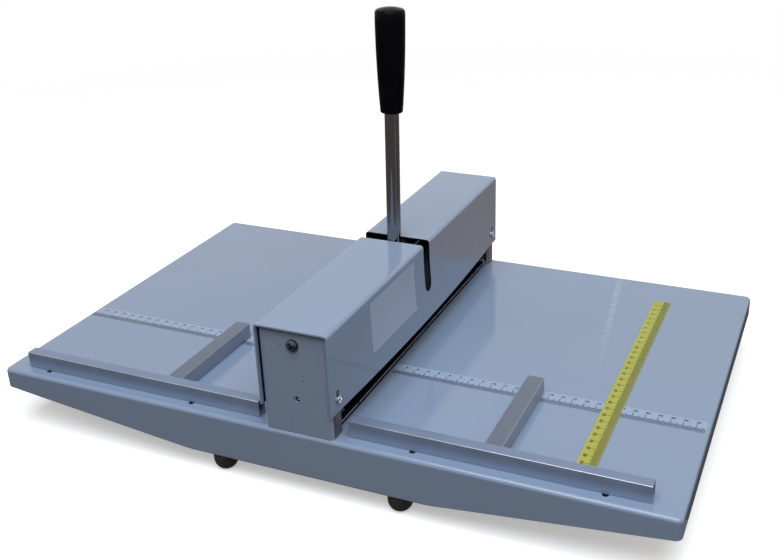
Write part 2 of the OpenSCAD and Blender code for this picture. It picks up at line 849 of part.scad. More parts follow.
// A grub screw along -X from the shaft out to the radius r
module grub(y, r) {
    translate([-shaft_d / 2, y, 0])
        rotate([0, -90, 0]) cylinder(h = r - shaft_d / 2 - line_gap, d = grub_d);
}

module grub_screws() {
    color(black_steel)
        for (s = [-1, 1]) {
            at_handle() grub(s * boss_grub_y, boss_d / 2);
            translate([0, 0, shaft_z]) grub(s * cam_y, cam_base_r);
        }
}

// A cam with a flat follower below it lifts by the same amount for each degree when its side
// is the involute that this function follows: at the angle a, the side stands the base radius
// and the lift away from the shaft, and touches the follower one radian's lift to the side.
function cam_point(a) =
    let (h = cam_base_r + cam_per_degree * a)
        [h * sin(a) + cam_per_radian * cos(a), -h * cos(a) + cam_per_radian * sin(a)];

cam_tip_r = norm(cam_point(swing));
cam_tip_a = swing + atan(cam_per_radian / (cam_base_r + cam_lift));
cam_back_a = cam_tip_a + acos(cam_base_r / cam_tip_r);

module cam(y) {
    rise = [for (a = [0:cam_step:swing]) cam_point(a)];
    tip = [cam_point(swing)];
    back = [
        for (i = [0:floor((360 - cam_back_a) / cam_step)])
            let (a = cam_back_a + i * cam_step)
                [cam_base_r * sin(a), -cam_base_r * cos(a)]
    ];
    foot_point = [[0, -cam_base_r]];
    color(bright_steel)
        translate([0, y, shaft_z])
            difference() {
                rotate([90, 0, 0])
                    linear_extrude(cam_w, center = true)
                        polygon(concat(rise, swing % cam_step == 0 ? [] : tip, back, foot_point));
                rotate([90, 0, 0]) cylinder(h = cam_w + 2 * over, d = shaft_d, center = true);
                rotate([0, -90, 0]) cylinder(h = 2 * cam_base_r, d = grub_d);
            }
}

module rear_cam() cam(cam_y);
module front_cam() cam(-cam_y);

module handle_rod() {
    tail_l = rod_seat + shaft_d * 0.35;
    color(chrome_steel)
        at_handle() translate([0, 0, rod_seat]) {
            cylinder(h = rod_end - rod_seat, d = rod_d);
            translate([0, 0, -tail_l]) cylinder(h = tail_l, d = rod_tail_d);
        }
}

// The grip: a taper with swelling sides, a rounded shoulder and a slightly domed end, bored for
// the rod. Below the shoulder the side falls in by the square of the share of its length.
module handle_grip() {
    top_r = grip_top_d / 2;
    low_r = grip_low_d / 2;
    dome_r = (pow(top_r, 2) + pow(grip_dome, 2)) / (2 * grip_dome);
    side_l = grip_l - grip_edge_r;
    side = [
        for (i = [0:grip_steps])
            let (s = i / grip_steps)
                [top_r - (top_r - low_r) * pow(s, 2), -grip_edge_r - side_l * s]
    ];
    color(rubber)
        at_handle() translate([0, 0, handle_reach])
            difference() {
                rotate_extrude()
                    intersection() {
                        polygon(concat([[0, 0], [top_r, 0]], side, [[0, -grip_l]]));
                        union() {
                            translate([0, -grip_l]) square([top_r, grip_l - grip_edge_r]);
                            translate([top_r - grip_edge_r, -grip_edge_r]) circle(grip_edge_r);
                            translate([0, -grip_edge_r]) square([top_r - grip_edge_r, grip_edge_r]);
                        }
                        translate([0, -dome_r]) circle(dome_r, $fn = 360);
                    }
                translate([0, 0, -grip_l - over])
                    cylinder(h = rod_end - handle_reach + grip_l + over, d = rod_d);
            }
}

// The beam: a bar with a jaw below one half of it, bored at both ends for the guide posts
module blade_beam() {
    color(black_steel)
        difference() {
            union() {
                translate([-beam_w / 2, -beam_end_y, shoulder_z])
                    cube([beam_w, 2 * beam_end_y, beam_h]);
                translate([blade_t / 2, -blade_l / 2, jaw_z])
                    cube([(beam_w - blade_t) / 2, blade_l, jaw_h + over]);
            }
            for (s = [-1, 1]) {
                translate([0, s * post_y, shoulder_z - over])
                    cylinder(h = beam_h + 2 * over, d = post_d + 2 * run_gap);
                translate([0, s * cam_y, beam_z])
                    cube([pad_w, pad_l, 2 * pad_sunk], center = true);
            }
            for (y = clamp_screw_y)
                translate([0, y, clamp_screw_z])
                    rotate([0, 90, 0]) cylinder(h = clamp_screw_in, d = clamp_screw_d);
        }
}

pad_w = beam_w;
pad_l = cam_w + 2 * over;
pad_sunk = pad_proud * 0.25;
clamp_h = jaw_h - 2 * over;
clamp_screw_z = jaw_z + jaw_h / 2;
clamp_screw_in = (beam_w + blade_t) / 4;
clamp_screw_y = [for (i = [0:clamp_screws - 1]) blade_l * ((i + 0.5) / clamp_screws - 0.5)];

// A hardened pad let into the top of the beam below a cam
module pad(y) {
    color(bright_steel)
        translate([-pad_w / 2, y - pad_l / 2, beam_z - pad_sunk])
            cube([pad_w, pad_l, pad_proud + pad_sunk]);
}

module rear_pad() pad(cam_y);
module front_pad() pad(-cam_y);

module creasing_blade() {
    color(bright_steel)
        difference() {
            rotate([90, 0, 0])
                linear_extrude(blade_l, center = true) {
                    translate([-blade_t / 2, blade_z + blade_t / 2])
                        square([blade_t, shoulder_z - blade_z - blade_t / 2]);
                    translate([0, blade_z + blade_t / 2]) circle(blade_t / 2);
                }
            for (y = clamp_screw_y)
                translate([0, y, clamp_screw_z])
                    rotate([0, 90, 0]) cylinder(h = beam_w, d = clamp_screw_d, center = true);
        }
}

module clamp_bar() {
    color(black_steel)
        difference() {
            translate([-blade_t / 2 - clamp_t, -blade_l / 2, jaw_z + over])
                cube([clamp_t, blade_l, clamp_h]);
            for (y = clamp_screw_y)
                translate([0, y, clamp_screw_z])
                    rotate([0, -90, 0]) cylinder(h = beam_w, d = clamp_screw_d);
        }
}

// Socket-headed screws through the clamp bar and the blade into the jaw
module clamp_screws() {
    head_d = clamp_screw_d * head_share;
    socket_d = clamp_screw_d * 0.85;
    shank_l = clamp_t + blade_t / 2 + clamp_screw_in;
    color(bright_steel)
        for (y = clamp_screw_y)
            translate([-blade_t / 2 - clamp_t, y, clamp_screw_z])
                rotate([0, -90, 0])
                    difference() {
                        union() {
                            cylinder(h = clamp_screw_d, d = head_d);
                            translate([0, 0, -shank_l]) cylinder(h = shank_l, d = clamp_screw_d);
                        }
                        translate([0, 0, clamp_screw_d / 2])
                            cylinder(h = clamp_screw_d, d = socket_d, $fn = 6);
                    }
}

// A hollow fence bar from x0 to the right, with tapped holes in its lower wall
module fence(x0) {
    color(aluminium)
        difference() {
            translate([x0, -fence_y - fence_w / 2, table_z]) cube([fence_l, fence_w, fence_h]);
            translate([x0 - over, -fence_y - fence_w / 2 + fence_wall, table_z + fence_wall])
                cube([fence_l + 2 * over, fence_w - 2 * fence_wall, fence_h - 2 * fence_wall]);
            for (x = fence_screw_x)
                translate([x, -fence_y, table_z])
                    cylinder(h = 3 * fence_wall, d = fence_screw_d, center = true);
        }
}

module left_fence() fence(-left_fence_in - fence_l);
module right_fence() fence(right_fence_in);

washer_t = fence_screw_d * 0.3;
washer_d = fence_screw_d * 3.5;

module fence_screws() {
    shank_l = washer_t + table_t + fence_wall;
    color(bright_steel)
        for (x = fence_screw_x)
            translate([x, -fence_y, table_z - table_t - washer_t])
                rotate([180, 0, 0])
                    pan_screw(fence_screw_d, fence_screw_d * head_share, fence_screw_d * head_h_share, shank_l);
}

module fence_washers() {
    color(bright_steel)
        for (x = fence_screw_x)
            translate([x, -fence_y, table_z - table_t - washer_t])
                difference() {
                    cylinder(h = washer_t, d = washer_d);
                    cylinder(h = 3 * washer_t, d = fence_screw_d + 2 * bolt_gap, center = true);
                }
}

// A sliding stop whose near left corner is at x0, with pockets for its magnets
module stop(x0) {
    color(aluminium)
        difference() {
            translate([x0, -stop_y - stop_l / 2, stop_z]) cube([stop_w, stop_l, stop_h]);
            for (s = [-1, 1])
                translate([x0 + stop_w / 2, -stop_y + s * (stop_l / 2 - magnet_inset), stop_z - over])
                    cylinder(h = magnet_h + over, d = magnet_d);
        }
}

module stop_magnets(x0) {
    color(bright_steel)
        for (s = [-1, 1])
            translate([x0 + stop_w / 2, -stop_y + s * (stop_l / 2 - magnet_inset), stop_z])
                cylinder(h = magnet_h, d = magnet_d);
}

module left_stop() stop(-left_stop_at - stop_w);
module right_stop() stop(right_stop_at);
module left_stop_magnets() stop_magnets(-left_stop_at - stop_w);
module right_stop_magnets() stop_magnets(right_stop_at);

// A white scale stuck on the table, from the bed to the table's end
module scale() {
    color(vinyl)
        translate([scale_in, -scale_y - scale_w, table_z])
            cube([scale_out - scale_in, scale_w, scale_t]);
}

module right_scale() scale();
module left_scale() mirror([1, 0, 0]) scale();

module cross_scale() {
    color(yellow_tape)
        translate([cross_x, -cross_front_y, cross_z])
            cube([cross_w, cross_l, cross_t]);
}

table_tray();
press_channel();
foot_front_left();
foot_front_right();
foot_rear_left();
foot_rear_right();
foot_studs();
foot_nuts();
bed_plate();
bed_screws();
matrix_strip();
matrix_screws();
front_cheek();
rear_cheek();
cheek_bolts();
front_post();
rear_post();
frame_nuts();
front_return_spring();
rear_return_spring();
front_bush();
rear_bush();
cover();
cover_screws();
main_shaft();
shaft_end_screws();
handle_boss();
grub_screws();
handle_rod();
handle_grip();
front_cam();
rear_cam();
blade_beam();
front_pad();
rear_pad();
creasing_blade();
clamp_bar();
clamp_screws();
left_fence();
right_fence();
fence_screws();
fence_washers();
left_stop();
right_stop();
left_stop_magnets();
right_stop_magnets();
left_scale();
right_scale();
cross_scale();
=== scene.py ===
"""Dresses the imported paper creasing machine: fine surfaces, finishes, studio and camera."""

from __future__ import annotations

import functools
import json
import logging
import math
from dataclasses import dataclass, replace
from enum import Enum
from typing import Any, ClassVar, Mapping, Sequence, Union

import bmesh
import bpy
import numpy as np
from mathutils import Matrix, Vector

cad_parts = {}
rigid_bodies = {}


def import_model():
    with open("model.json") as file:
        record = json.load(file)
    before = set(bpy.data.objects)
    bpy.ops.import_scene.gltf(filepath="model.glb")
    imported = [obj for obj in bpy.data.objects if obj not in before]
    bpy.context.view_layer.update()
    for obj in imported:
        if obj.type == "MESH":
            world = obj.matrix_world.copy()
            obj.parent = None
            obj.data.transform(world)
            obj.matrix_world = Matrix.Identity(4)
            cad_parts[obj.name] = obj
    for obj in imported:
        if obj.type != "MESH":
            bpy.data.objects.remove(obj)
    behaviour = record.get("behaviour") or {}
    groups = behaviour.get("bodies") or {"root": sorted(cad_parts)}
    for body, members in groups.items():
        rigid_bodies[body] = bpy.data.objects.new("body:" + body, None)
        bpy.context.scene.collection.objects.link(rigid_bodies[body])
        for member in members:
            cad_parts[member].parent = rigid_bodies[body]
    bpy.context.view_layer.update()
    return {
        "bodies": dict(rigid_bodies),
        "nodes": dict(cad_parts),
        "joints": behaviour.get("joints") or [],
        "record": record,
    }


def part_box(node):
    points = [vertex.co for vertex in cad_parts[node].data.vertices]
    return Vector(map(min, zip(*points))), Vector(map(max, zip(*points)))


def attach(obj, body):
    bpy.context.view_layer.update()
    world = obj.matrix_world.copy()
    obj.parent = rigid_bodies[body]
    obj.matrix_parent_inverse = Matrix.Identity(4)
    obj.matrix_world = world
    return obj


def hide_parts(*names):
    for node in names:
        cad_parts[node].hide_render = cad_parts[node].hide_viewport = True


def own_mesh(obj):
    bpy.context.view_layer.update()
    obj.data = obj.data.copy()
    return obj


LOG = logging.getLogger("creasing_machine")
MM = 0.001

Colour = tuple[float, float, float]
Point = tuple[float, float, float]
Frame = Mapping[str, Any]
Material = bpy.types.Material
Piece = bpy.types.Object
Socket = bpy.types.NodeSocket

MERGED = 0.002 * MM
SHARP = 32.0
UP: Point = (0, 0, 1)
DOWN: Point = (0, 0, -1)
PLAIN_WHITE: Colour = (1.0, 1.0, 1.0)
BLUE_GREY: Colour = (0.2, 0.261, 0.366)


class Axis(Enum):
    """The direction that a profile is carried along."""

    X = 0
    Y = 1
    Z = 2

    def place(self, across: np.ndarray, up: np.ndarray, along: np.ndarray) -> np.ndarray:
        """Puts profile coordinates into the machine's frame.

        Args:
            across: first profile coordinate.
            up: second profile coordinate.
            along: distance along this axis.

        Returns:
            Points with X, Y and Z in the last dimension. The profile's two coordinates take the
            two other axes in their usual order.
        """
        parts = list(np.broadcast_arrays(across, up))
        parts.insert(self.value, np.broadcast_to(along, parts[0].shape))
        return np.stack(parts, axis=-1)


# Shader maths


class Signal:
    """A shader value. Python operators on it add the Math nodes of the expression."""

    def __init__(self, tree: "FinishTree", socket: Socket) -> None:
        """Wraps an output socket of a finish's node tree."""
        self.tree = tree
        self.socket = socket

    def _maths(self, operation: str, *values: "Value") -> "Signal":
        """Adds one Math node and returns its result."""
        node = self.tree.node("ShaderNodeMath", {"operation": operation}, dict(enumerate(values)))
        return Signal(self.tree, node.outputs[0])

    def __add__(self, other: "Value") -> "Signal":
        """Sum."""
        return self._maths("ADD", self, other)

    def __radd__(self, other: "Value") -> "Signal":
        """Sum, with this value second."""
        return self._maths("ADD", other, self)

    def __sub__(self, other: "Value") -> "Signal":
        """Difference."""
        return self._maths("SUBTRACT", self, other)

    def __rsub__(self, other: "Value") -> "Signal":
        """Difference, with this value second."""
        return self._maths("SUBTRACT", other, self)

    def __mul__(self, other: "Value") -> "Signal":
        """Product."""
        return self._maths("MULTIPLY", self, other)

    def __rmul__(self, other: "Value") -> "Signal":
        """Product, with this value second."""
        return self._maths("MULTIPLY", other, self)

    def __abs__(self) -> "Signal":
        """Size without its sign."""
        return self._maths("ABSOLUTE", self)

    def above(self, limit: "Value") -> "Signal":
        """One where the value is above a limit, else zero."""
        return self._maths("GREATER_THAN", self, limit)

    def ramp(self, low: float, high: float) -> "Signal":
        """Rises smoothly from 0 to 1.

        Args:
            low: the value that gives 0.
            high: the value that gives 1, which may be the smaller of the two.

        Returns:
            The smooth step of the value between the two limits.
        """
        node = self.tree.node(
            "ShaderNodeMapRange",
            {"interpolation_type": "SMOOTHSTEP"},
            {"Value": self, "From Min": low, "From Max": high},
        )
        return Signal(self.tree, node.outputs["Result"])


Value = Union[Signal, float]
Slots = Union[int, np.ndarray]


class FinishTree:
    """The node tree of a material or a world, filled by a single node-making method."""

    SPECK_EDGE: ClassVar[float] = 0.7
    SPECK_NOISE: ClassVar[float] = 40.0

    def __init__(self, owner: Union[Material, bpy.types.World]) -> None:
        """Empties the tree of its owner.

        Args:
            owner: the material or world whose tree it is.
        """
        self.owner = owner
        owner.use_nodes = True
        self.nodes = owner.node_tree.nodes
        self.links = owner.node_tree.links
        self.nodes.clear()

    def node(
        self,
        kind: str,
        settings: Mapping[str, object] | None = None,
        inputs: Mapping[object, object] | None = None,
    ) -> bpy.types.Node:
        """Adds a node.

        Args:
            kind: the node's type.
            settings: properties of the node, which are set first.
            inputs: a value, socket or Signal for each input, by name or number.

        Returns:
            The new node.
        """
        made = self.nodes.new(kind)
        for key, value in (settings or {}).items():
            setattr(made, key, value)
        for key, value in (inputs or {}).items():
            source = value.socket if isinstance(value, Signal) else value
            if isinstance(source, Socket):
                self.links.new(source, made.inputs[key])
            else:
                made.inputs[key].default_value = source
        return made

    def shown(self) -> Signal:
        """Tells the rays that show a thing from those that light it.

        Returns:
            One or more for rays that the camera, gloss or glass sends out, else zero.
        """
        ray = self.node("ShaderNodeLightPath").outputs
        kinds = ("Is Camera Ray", "Is Glossy Ray", "Is Transmission Ray")
        camera, gloss, glass = (Signal(self, ray[kind]) for kind in kinds)
        return camera + gloss + glass

    def here(self) -> Socket:
        """The point's place in the object's own coordinates, in metres."""
        return self.node("ShaderNodeTexCoord").outputs["Object"]

    def stretched(self, place: Socket, scale: Point) -> Socket:
        """Places multiplied by a scale for each axis."""
        return self.node("ShaderNodeMapping", None, {"Vector": place, "Scale": scale}).outputs[0]

    def axes(self, place: Socket) -> tuple[Signal, Signal, Signal]:
        """The three coordinates of a place as values."""
        parts = self.node("ShaderNodeSeparateXYZ", None, {0: place}).outputs
        return Signal(self, parts[0]), Signal(self, parts[1]), Signal(self, parts[2])

    def noise(self, place: Socket, scale: float, detail: float = 2.0, rough: float = 0.5) -> Signal:
        """Cloudy noise between 0 and 1, with a number of cells for each metre and of layers."""
        inputs = {"Vector": place, "Scale": scale, "Detail": detail, "Roughness": rough}
        return Signal(self, self.node("ShaderNodeTexNoise", None, inputs).outputs[0])

    def specks(self, place: Socket, scale: float, radius: float, share: float) -> Signal:
        """Small sparse spots: some cells of a Voronoi pattern have a spot at their middle.

        Args:
            place: where it is read.
            scale: cells for each metre.
            radius: radius of a spot, as a share of a cell.
            share: share of the cells that have one.

        Returns:
            A mask that is 1 in the spots.
        """
        ragged = self.node(
            "ShaderNodeTexNoise", None, {"Vector": place, "Scale": scale * self.SPECK_NOISE}
        )
        nudge = self.node(
            "ShaderNodeVectorMath",
            {"operation": "MULTIPLY_ADD"},
            {0: ragged.outputs["Color"], 1: (radius / scale,) * 3, 2: place},
        )
        cells = self.node(
            "ShaderNodeTexVoronoi", None, {"Vector": nudge.outputs[0], "Scale": scale}
        )
        chance = self.node("ShaderNodeSeparateColor", None, {0: cells.outputs["Color"]})
        near = Signal(self, cells.outputs["Distance"]).ramp(radius, radius * self.SPECK_EDGE)
        return near * Signal(self, chance.outputs[0]).above(1 - share)

    def mix(self, mask: Value, first: object, second: object) -> Socket:
        """Colour that goes from the first to the second as the mask goes from 0 to 1."""
        ends = {6: solid(first), 7: solid(second)}
        return self.node("ShaderNodeMix", {"data_type": "RGBA"}, {0: mask, **ends}).outputs[2]

    def bump(self, height: Signal, depth: float, under: Socket | None = None) -> Socket:
        """Normal of a surface with that relief.

        Args:
            height: relief between 0 and 1.
            depth: height of a full step, in metres.
            under: the normal of a coarser relief below it.

        Returns:
            The bumped normal.
        """
        inputs: dict[object, object] = {"Height": height, "Distance": depth, "Strength": 1.0}
        if under is not None:
            inputs["Normal"] = under
        return self.node("ShaderNodeBump", None, inputs).outputs[0]

    def plain(self, kind: str, colour: Colour, **fixed: float) -> Socket:
        """A shader of one colour, such as a lit card."""
        return self.node(kind, None, {"Color": solid(colour), **fixed}).outputs[0]

    def blended(self, share: Signal, first: Socket, second: Socket) -> Socket:
        """Shader that goes from the first to the second as the share goes from 0 to 1."""
        return self.node("ShaderNodeMixShader", None, {0: share, 1: first, 2: second}).outputs[0]

    def surface(
        self, colour: Socket, roughness: Value, normal: Socket, **fixed: object
    ) -> Material:
        """Ends the tree in a Principled surface.

        Args:
            colour: varying base colour.
            roughness: varying roughness.
            normal: bumped normal.
            fixed: constants for other sockets, with underscores for spaces.

        Returns:
            The finished material.
        """
        inputs = {"Base Color": colour, "Roughness": roughness, "Normal": normal}
        inputs.update({key.replace("_", " "): value for key, value in fixed.items()})
        shader = self.node("ShaderNodeBsdfPrincipled", None, inputs)
        return self.ended(shader.outputs[0])

    def ended(self, shader: Socket) -> Material:
        """Ends a material's tree in a shader and returns the material."""
        self.node("ShaderNodeOutputMaterial", None, {"Surface": shader})
        return self.owner


def solid(colour: object) -> object:
    """A colour of three numbers with its fourth added, and anything else as it is."""
    return (*colour, 1.0) if isinstance(colour, tuple) else colour


def tint(colour: Colour, share: float) -> Colour:
    """A colour with each of its parts multiplied by a share."""
    return tuple(part * share for part in colour)


# Finishes


@dataclass(frozen=True)
class Finish:
    """What all finishes have: a name and a main colour."""

    name: str
    colour: Colour

    def make(self) -> Material:
        """The material, which each kind of finish makes in its own way."""
        raise NotImplementedError(self.name)

    def start(self) -> tuple[FinishTree, Socket]:
        """The empty tree of a new material, and the places on the piece."""
        tree = FinishTree(bpy.data.materials.new(self.name))
        return tree, tree.here()

    def shades(self, tree: FinishTree, mask: Value, low: float, high: float) -> Socket:
        """The colour times the low share where the mask is 0, and the high share where it is 1."""
        return tree.mix(mask, tint(self.colour, low), tint(self.colour, high))


@dataclass(frozen=True)
class Enamel(Finish):
    """Baked enamel on sheet steel: soft gloss, a fine skin, rubbed patches and a few chips.

    Where it has a side, faces further than that from the crease take a dark tone, which is painted
    shade. Where it has a highlight streak, a painted highlight runs as a faint paler streak along
    a leaning line and fades towards the front.
    """

    primer: Colour = (0.05, 0.055, 0.06)
    gloss: float = 0.09
    rubbed: float = 0.06
    shine: float = 0.5
    chip_cells: float = 100.0
    chip_r: float = 0.045
    chipped: float = 0.04
    side: float = 0.0
    side_tone: Colour = (0.075, 0.07, 0.085)
    smear_x: float = 0.0
    smear_lean: float = -0.129
    smear_w: float = 0.005
    smear_y: tuple[float, float] = (-0.03, 0.12)
    smear_z: float = 56.5 * MM
    smear_share: float = 0.35
    smear_tone: Colour = (0.42, 0.46, 0.54)
    wave_depth: float = 0.00012
    peel_depth: float = 0.000003

    def make(self) -> Material:
        """Makes the enamel.

        Returns:
            The material.
        """
        tree, here = self.start()
        cloud = tree.noise(here, 5.0, 2.0)
        grain = tree.noise(here, 900.0, 1.0)
        tone = self.shades(tree, cloud.ramp(0.3, 0.7) * 0.6 + grain * 0.4, 0.97, 1.03)
        # Painted shade: faces further from the crease than the side take a dark tone.
        if self.side:
            x, _, _ = tree.axes(here)
            tone = tree.mix(abs(x).above(self.side), tone, self.side_tone)
        # Painted highlight: a faint paler streak along a leaning line on the table top.
        if self.smear_x:
            tone = tree.mix(self.smear(tree, here) * self.smear_share, tone, self.smear_tone)
        chips = tree.specks(here, self.chip_cells, self.chip_r, self.chipped)
        colour = tree.mix(chips * 0.85, tone, self.primer)
        rub = tree.noise(here, 12.0, 3.0).ramp(0.3, 0.75)
        roughness = rub * self.rubbed + chips * 0.4 + self.gloss
        waves = tree.bump(tree.noise(here, 5.0, 0.0), self.wave_depth)
        peel = tree.bump(tree.noise(here, 700.0, 1.0), self.peel_depth, waves)
        return tree.surface(colour, roughness, peel, Specular_IOR_Level=self.shine)

    def smear(self, tree: FinishTree, here: Socket) -> Signal:
        """The painted highlight streak, where x is near the streak's place plus its lean times y.

        Args:
            tree: the material's tree.
            here: the places on the piece.

        Returns:
            A mask that is 1 in the middle of the streak, broken up by noise.
        """
        x, y, z = tree.axes(here)
        off = abs(x - (y * self.smear_lean + self.smear_x))
        mark = off.ramp(self.smear_w, 0.0) * y.ramp(*self.smear_y) * z.above(self.smear_z)
        return mark * tree.noise(here, 160.0, 3.0).ramp(0.25, 0.6)


@dataclass(frozen=True)
class DrawnMetal(Finish):
    """Metal with fine lines along one axis, from drawing, rolling, grinding or brushing.

    Where it has a top, what lies below that takes the colour times a share, a painted reflection of the
    lit table on its lower flanks.
    """

    along: Axis
    smooth: float = 0.3
    spread: float = 0.2
    lines: float = 1100.0
    stretch: float = 0.02
    depth: float = 0.000006
    metal: float = 1.0
    top: float = 0.0
    fall: float = 0.0005
    flank: float = 1.0

    def make(self) -> Material:
        """Makes the metal.

        Returns:
            The material.
        """
        tree, here = self.start()
        scale = [1.0, 1.0, 1.0]
        scale[self.along.value] = self.stretch
        grain = tree.noise(tree.stretched(here, tuple(scale)), self.lines, 3.0, 0.65)
        stain = tree.noise(here, 45.0, 4.0).ramp(0.35, 0.75)
        nicks = tree.specks(here, 90.0, 0.03, 0.06)
        colour = self.shades(tree, grain * 0.6 + stain * 0.4, 0.88, 1.08)
        colour = tree.mix(nicks * 0.5, colour, tint(self.colour, 0.45))
        # Painted reflection: below the top the colour is lighter, in place of the table that the flanks
        # mirror.
        if self.top:
            _, _, z = tree.axes(here)
            low = z.ramp(self.top, self.top - self.fall)
            colour = tree.mix(low, colour, tint(self.colour, self.flank))
        roughness = grain * self.spread + stain * 0.1 + self.smooth
        normal = tree.bump(grain - nicks, self.depth)
        return tree.surface(colour, roughness, normal, Metallic=self.metal)


@dataclass(frozen=True)
class BlackOxide(Finish):
    """Blackened steel. Where it has an edge, a painted highlight runs along its upper edges there."""

    colour: Colour = (0.006, 0.007, 0.01)
    bright: Colour = (0.4, 0.41, 0.45)
    edge: float = 0.0
    top: float = 0.0
    rubbed_from: float = 0.0006
    rubbed_to: float = 0.00036
    depth: float = 0.000008
    shine: float = 0.1

    def make(self) -> Material:
        """Makes the blackened steel.

        Returns:
            The material.
        """
        tree, here = self.start()
        cloud = tree.noise(here, 60.0, 4.0)
        fine = tree.noise(here, 1400.0, 2.0)
        colour = self.shades(tree, cloud * 0.6 + fine * 0.4, 0.7, 1.5)
        roughness = cloud * 0.2 + fine * 0.1 + 0.24
        # Painted highlight: a thin bright band along the upper outer edges, broken up by noise.
        if self.edge:
            x, _, z = tree.axes(here)
            outer = abs(x).ramp(self.edge - self.rubbed_from, self.edge - self.rubbed_to)
            upper = z.ramp(self.top - self.rubbed_from, self.top - self.rubbed_to)
            worn = outer * upper * tree.noise(here, 220.0, 3.0).ramp(0.25, 0.45)
            colour = tree.mix(worn, colour, self.bright)
            roughness = roughness + worn * 0.05
        normal = tree.bump(fine, self.depth)
        return tree.surface(colour, roughness, normal, Specular_IOR_Level=self.shine)


@dataclass(frozen=True)
class Chrome(Finish):
    """Bright plating over a turned bar, with faint rings and smears."""

    colour: Colour = (0.24, 0.26, 0.29)
    depth: float = 0.000003

    def make(self) -> Material:
        """Makes the plating.

        Returns:
            The material.
        """
        tree, here = self.start()
        rings = tree.noise(tree.stretched(here, (0.3, 0.3, 30.0)), 90.0, 2.0)
        smear = tree.noise(tree.stretched(here, (1.0, 1.0, 0.25)), 130.0, 4.0).ramp(0.4, 0.75)
        colour = self.shades(tree, smear, 1.0, 0.86)
        roughness = smear * 0.12 + rings * 0.04 + 0.07
        return tree.surface(colour, roughness, tree.bump(rings, self.depth), Metallic=1.0)


@dataclass(frozen=True)
class Moulded(Finish):
    """Moulded black rubber or plastic: a fine skin, handling marks and a little dust."""

    gloss: float
    spread: float
    dust: Colour = (0.11, 0.105, 0.1)
    dust_share: float = 0.1
    depth: float = 0.00001
    shine: float = 0.5

    def make(self) -> Material:
        """Makes the moulding's surface.

        Returns:
            The material.
        """
        tree, here = self.start()
        cloud = tree.noise(here, 55.0, 4.0)
        fine = tree.noise(here, 1300.0, 2.0)
        dusty = cloud.ramp(0.5, 0.85) * self.dust_share
        colour = tree.mix(dusty, self.shades(tree, fine, 0.8, 1.3), self.dust)
        roughness = cloud.ramp(0.3, 0.8) * self.spread + fine * 0.04 + self.gloss
        normal = tree.bump(fine, self.depth)
        return tree.surface(colour, roughness, normal, Specular_IOR_Level=self.shine)


@dataclass(frozen=True)
class Tape(Finish):
    """Printed adhesive tape under a clear film: faintly mottled, a little grubby."""

    grime: Colour
    gloss: float = 0.3
    depth: float = 0.00003

    def make(self) -> Material:
        """Makes the tape's surface.

        Returns:
            The material.
        """
        tree, here = self.start()
        cloud = tree.noise(here, 22.0, 4.0)
        fine = tree.noise(here, 1500.0, 2.0)
        grubby = cloud.ramp(0.45, 0.85) * 0.25
        colour = tree.mix(grubby, self.shades(tree, fine, 0.97, 1.02), self.grime)
        normal = tree.bump(tree.noise(here, 60.0, 1.0), self.depth)
        return tree.surface(colour, cloud * 0.2 + self.gloss, normal, IOR=1.46)


@dataclass(frozen=True)
class Ink(Finish):
    """Printing ink that is thinner in places."""

    worn: Colour
    depth: float = 0.000004

    def make(self) -> Material:
        """Makes the ink.

        Returns:
            The material.
        """
        tree, here = self.start()
        thin = tree.noise(here, 420.0, 3.0).ramp(0.5, 0.9)
        colour = tree.mix(thin * 0.2, self.colour, self.worn)
        return tree.surface(colour, thin * 0.2 + 0.35, tree.bump(thin, self.depth), IOR=1.46)


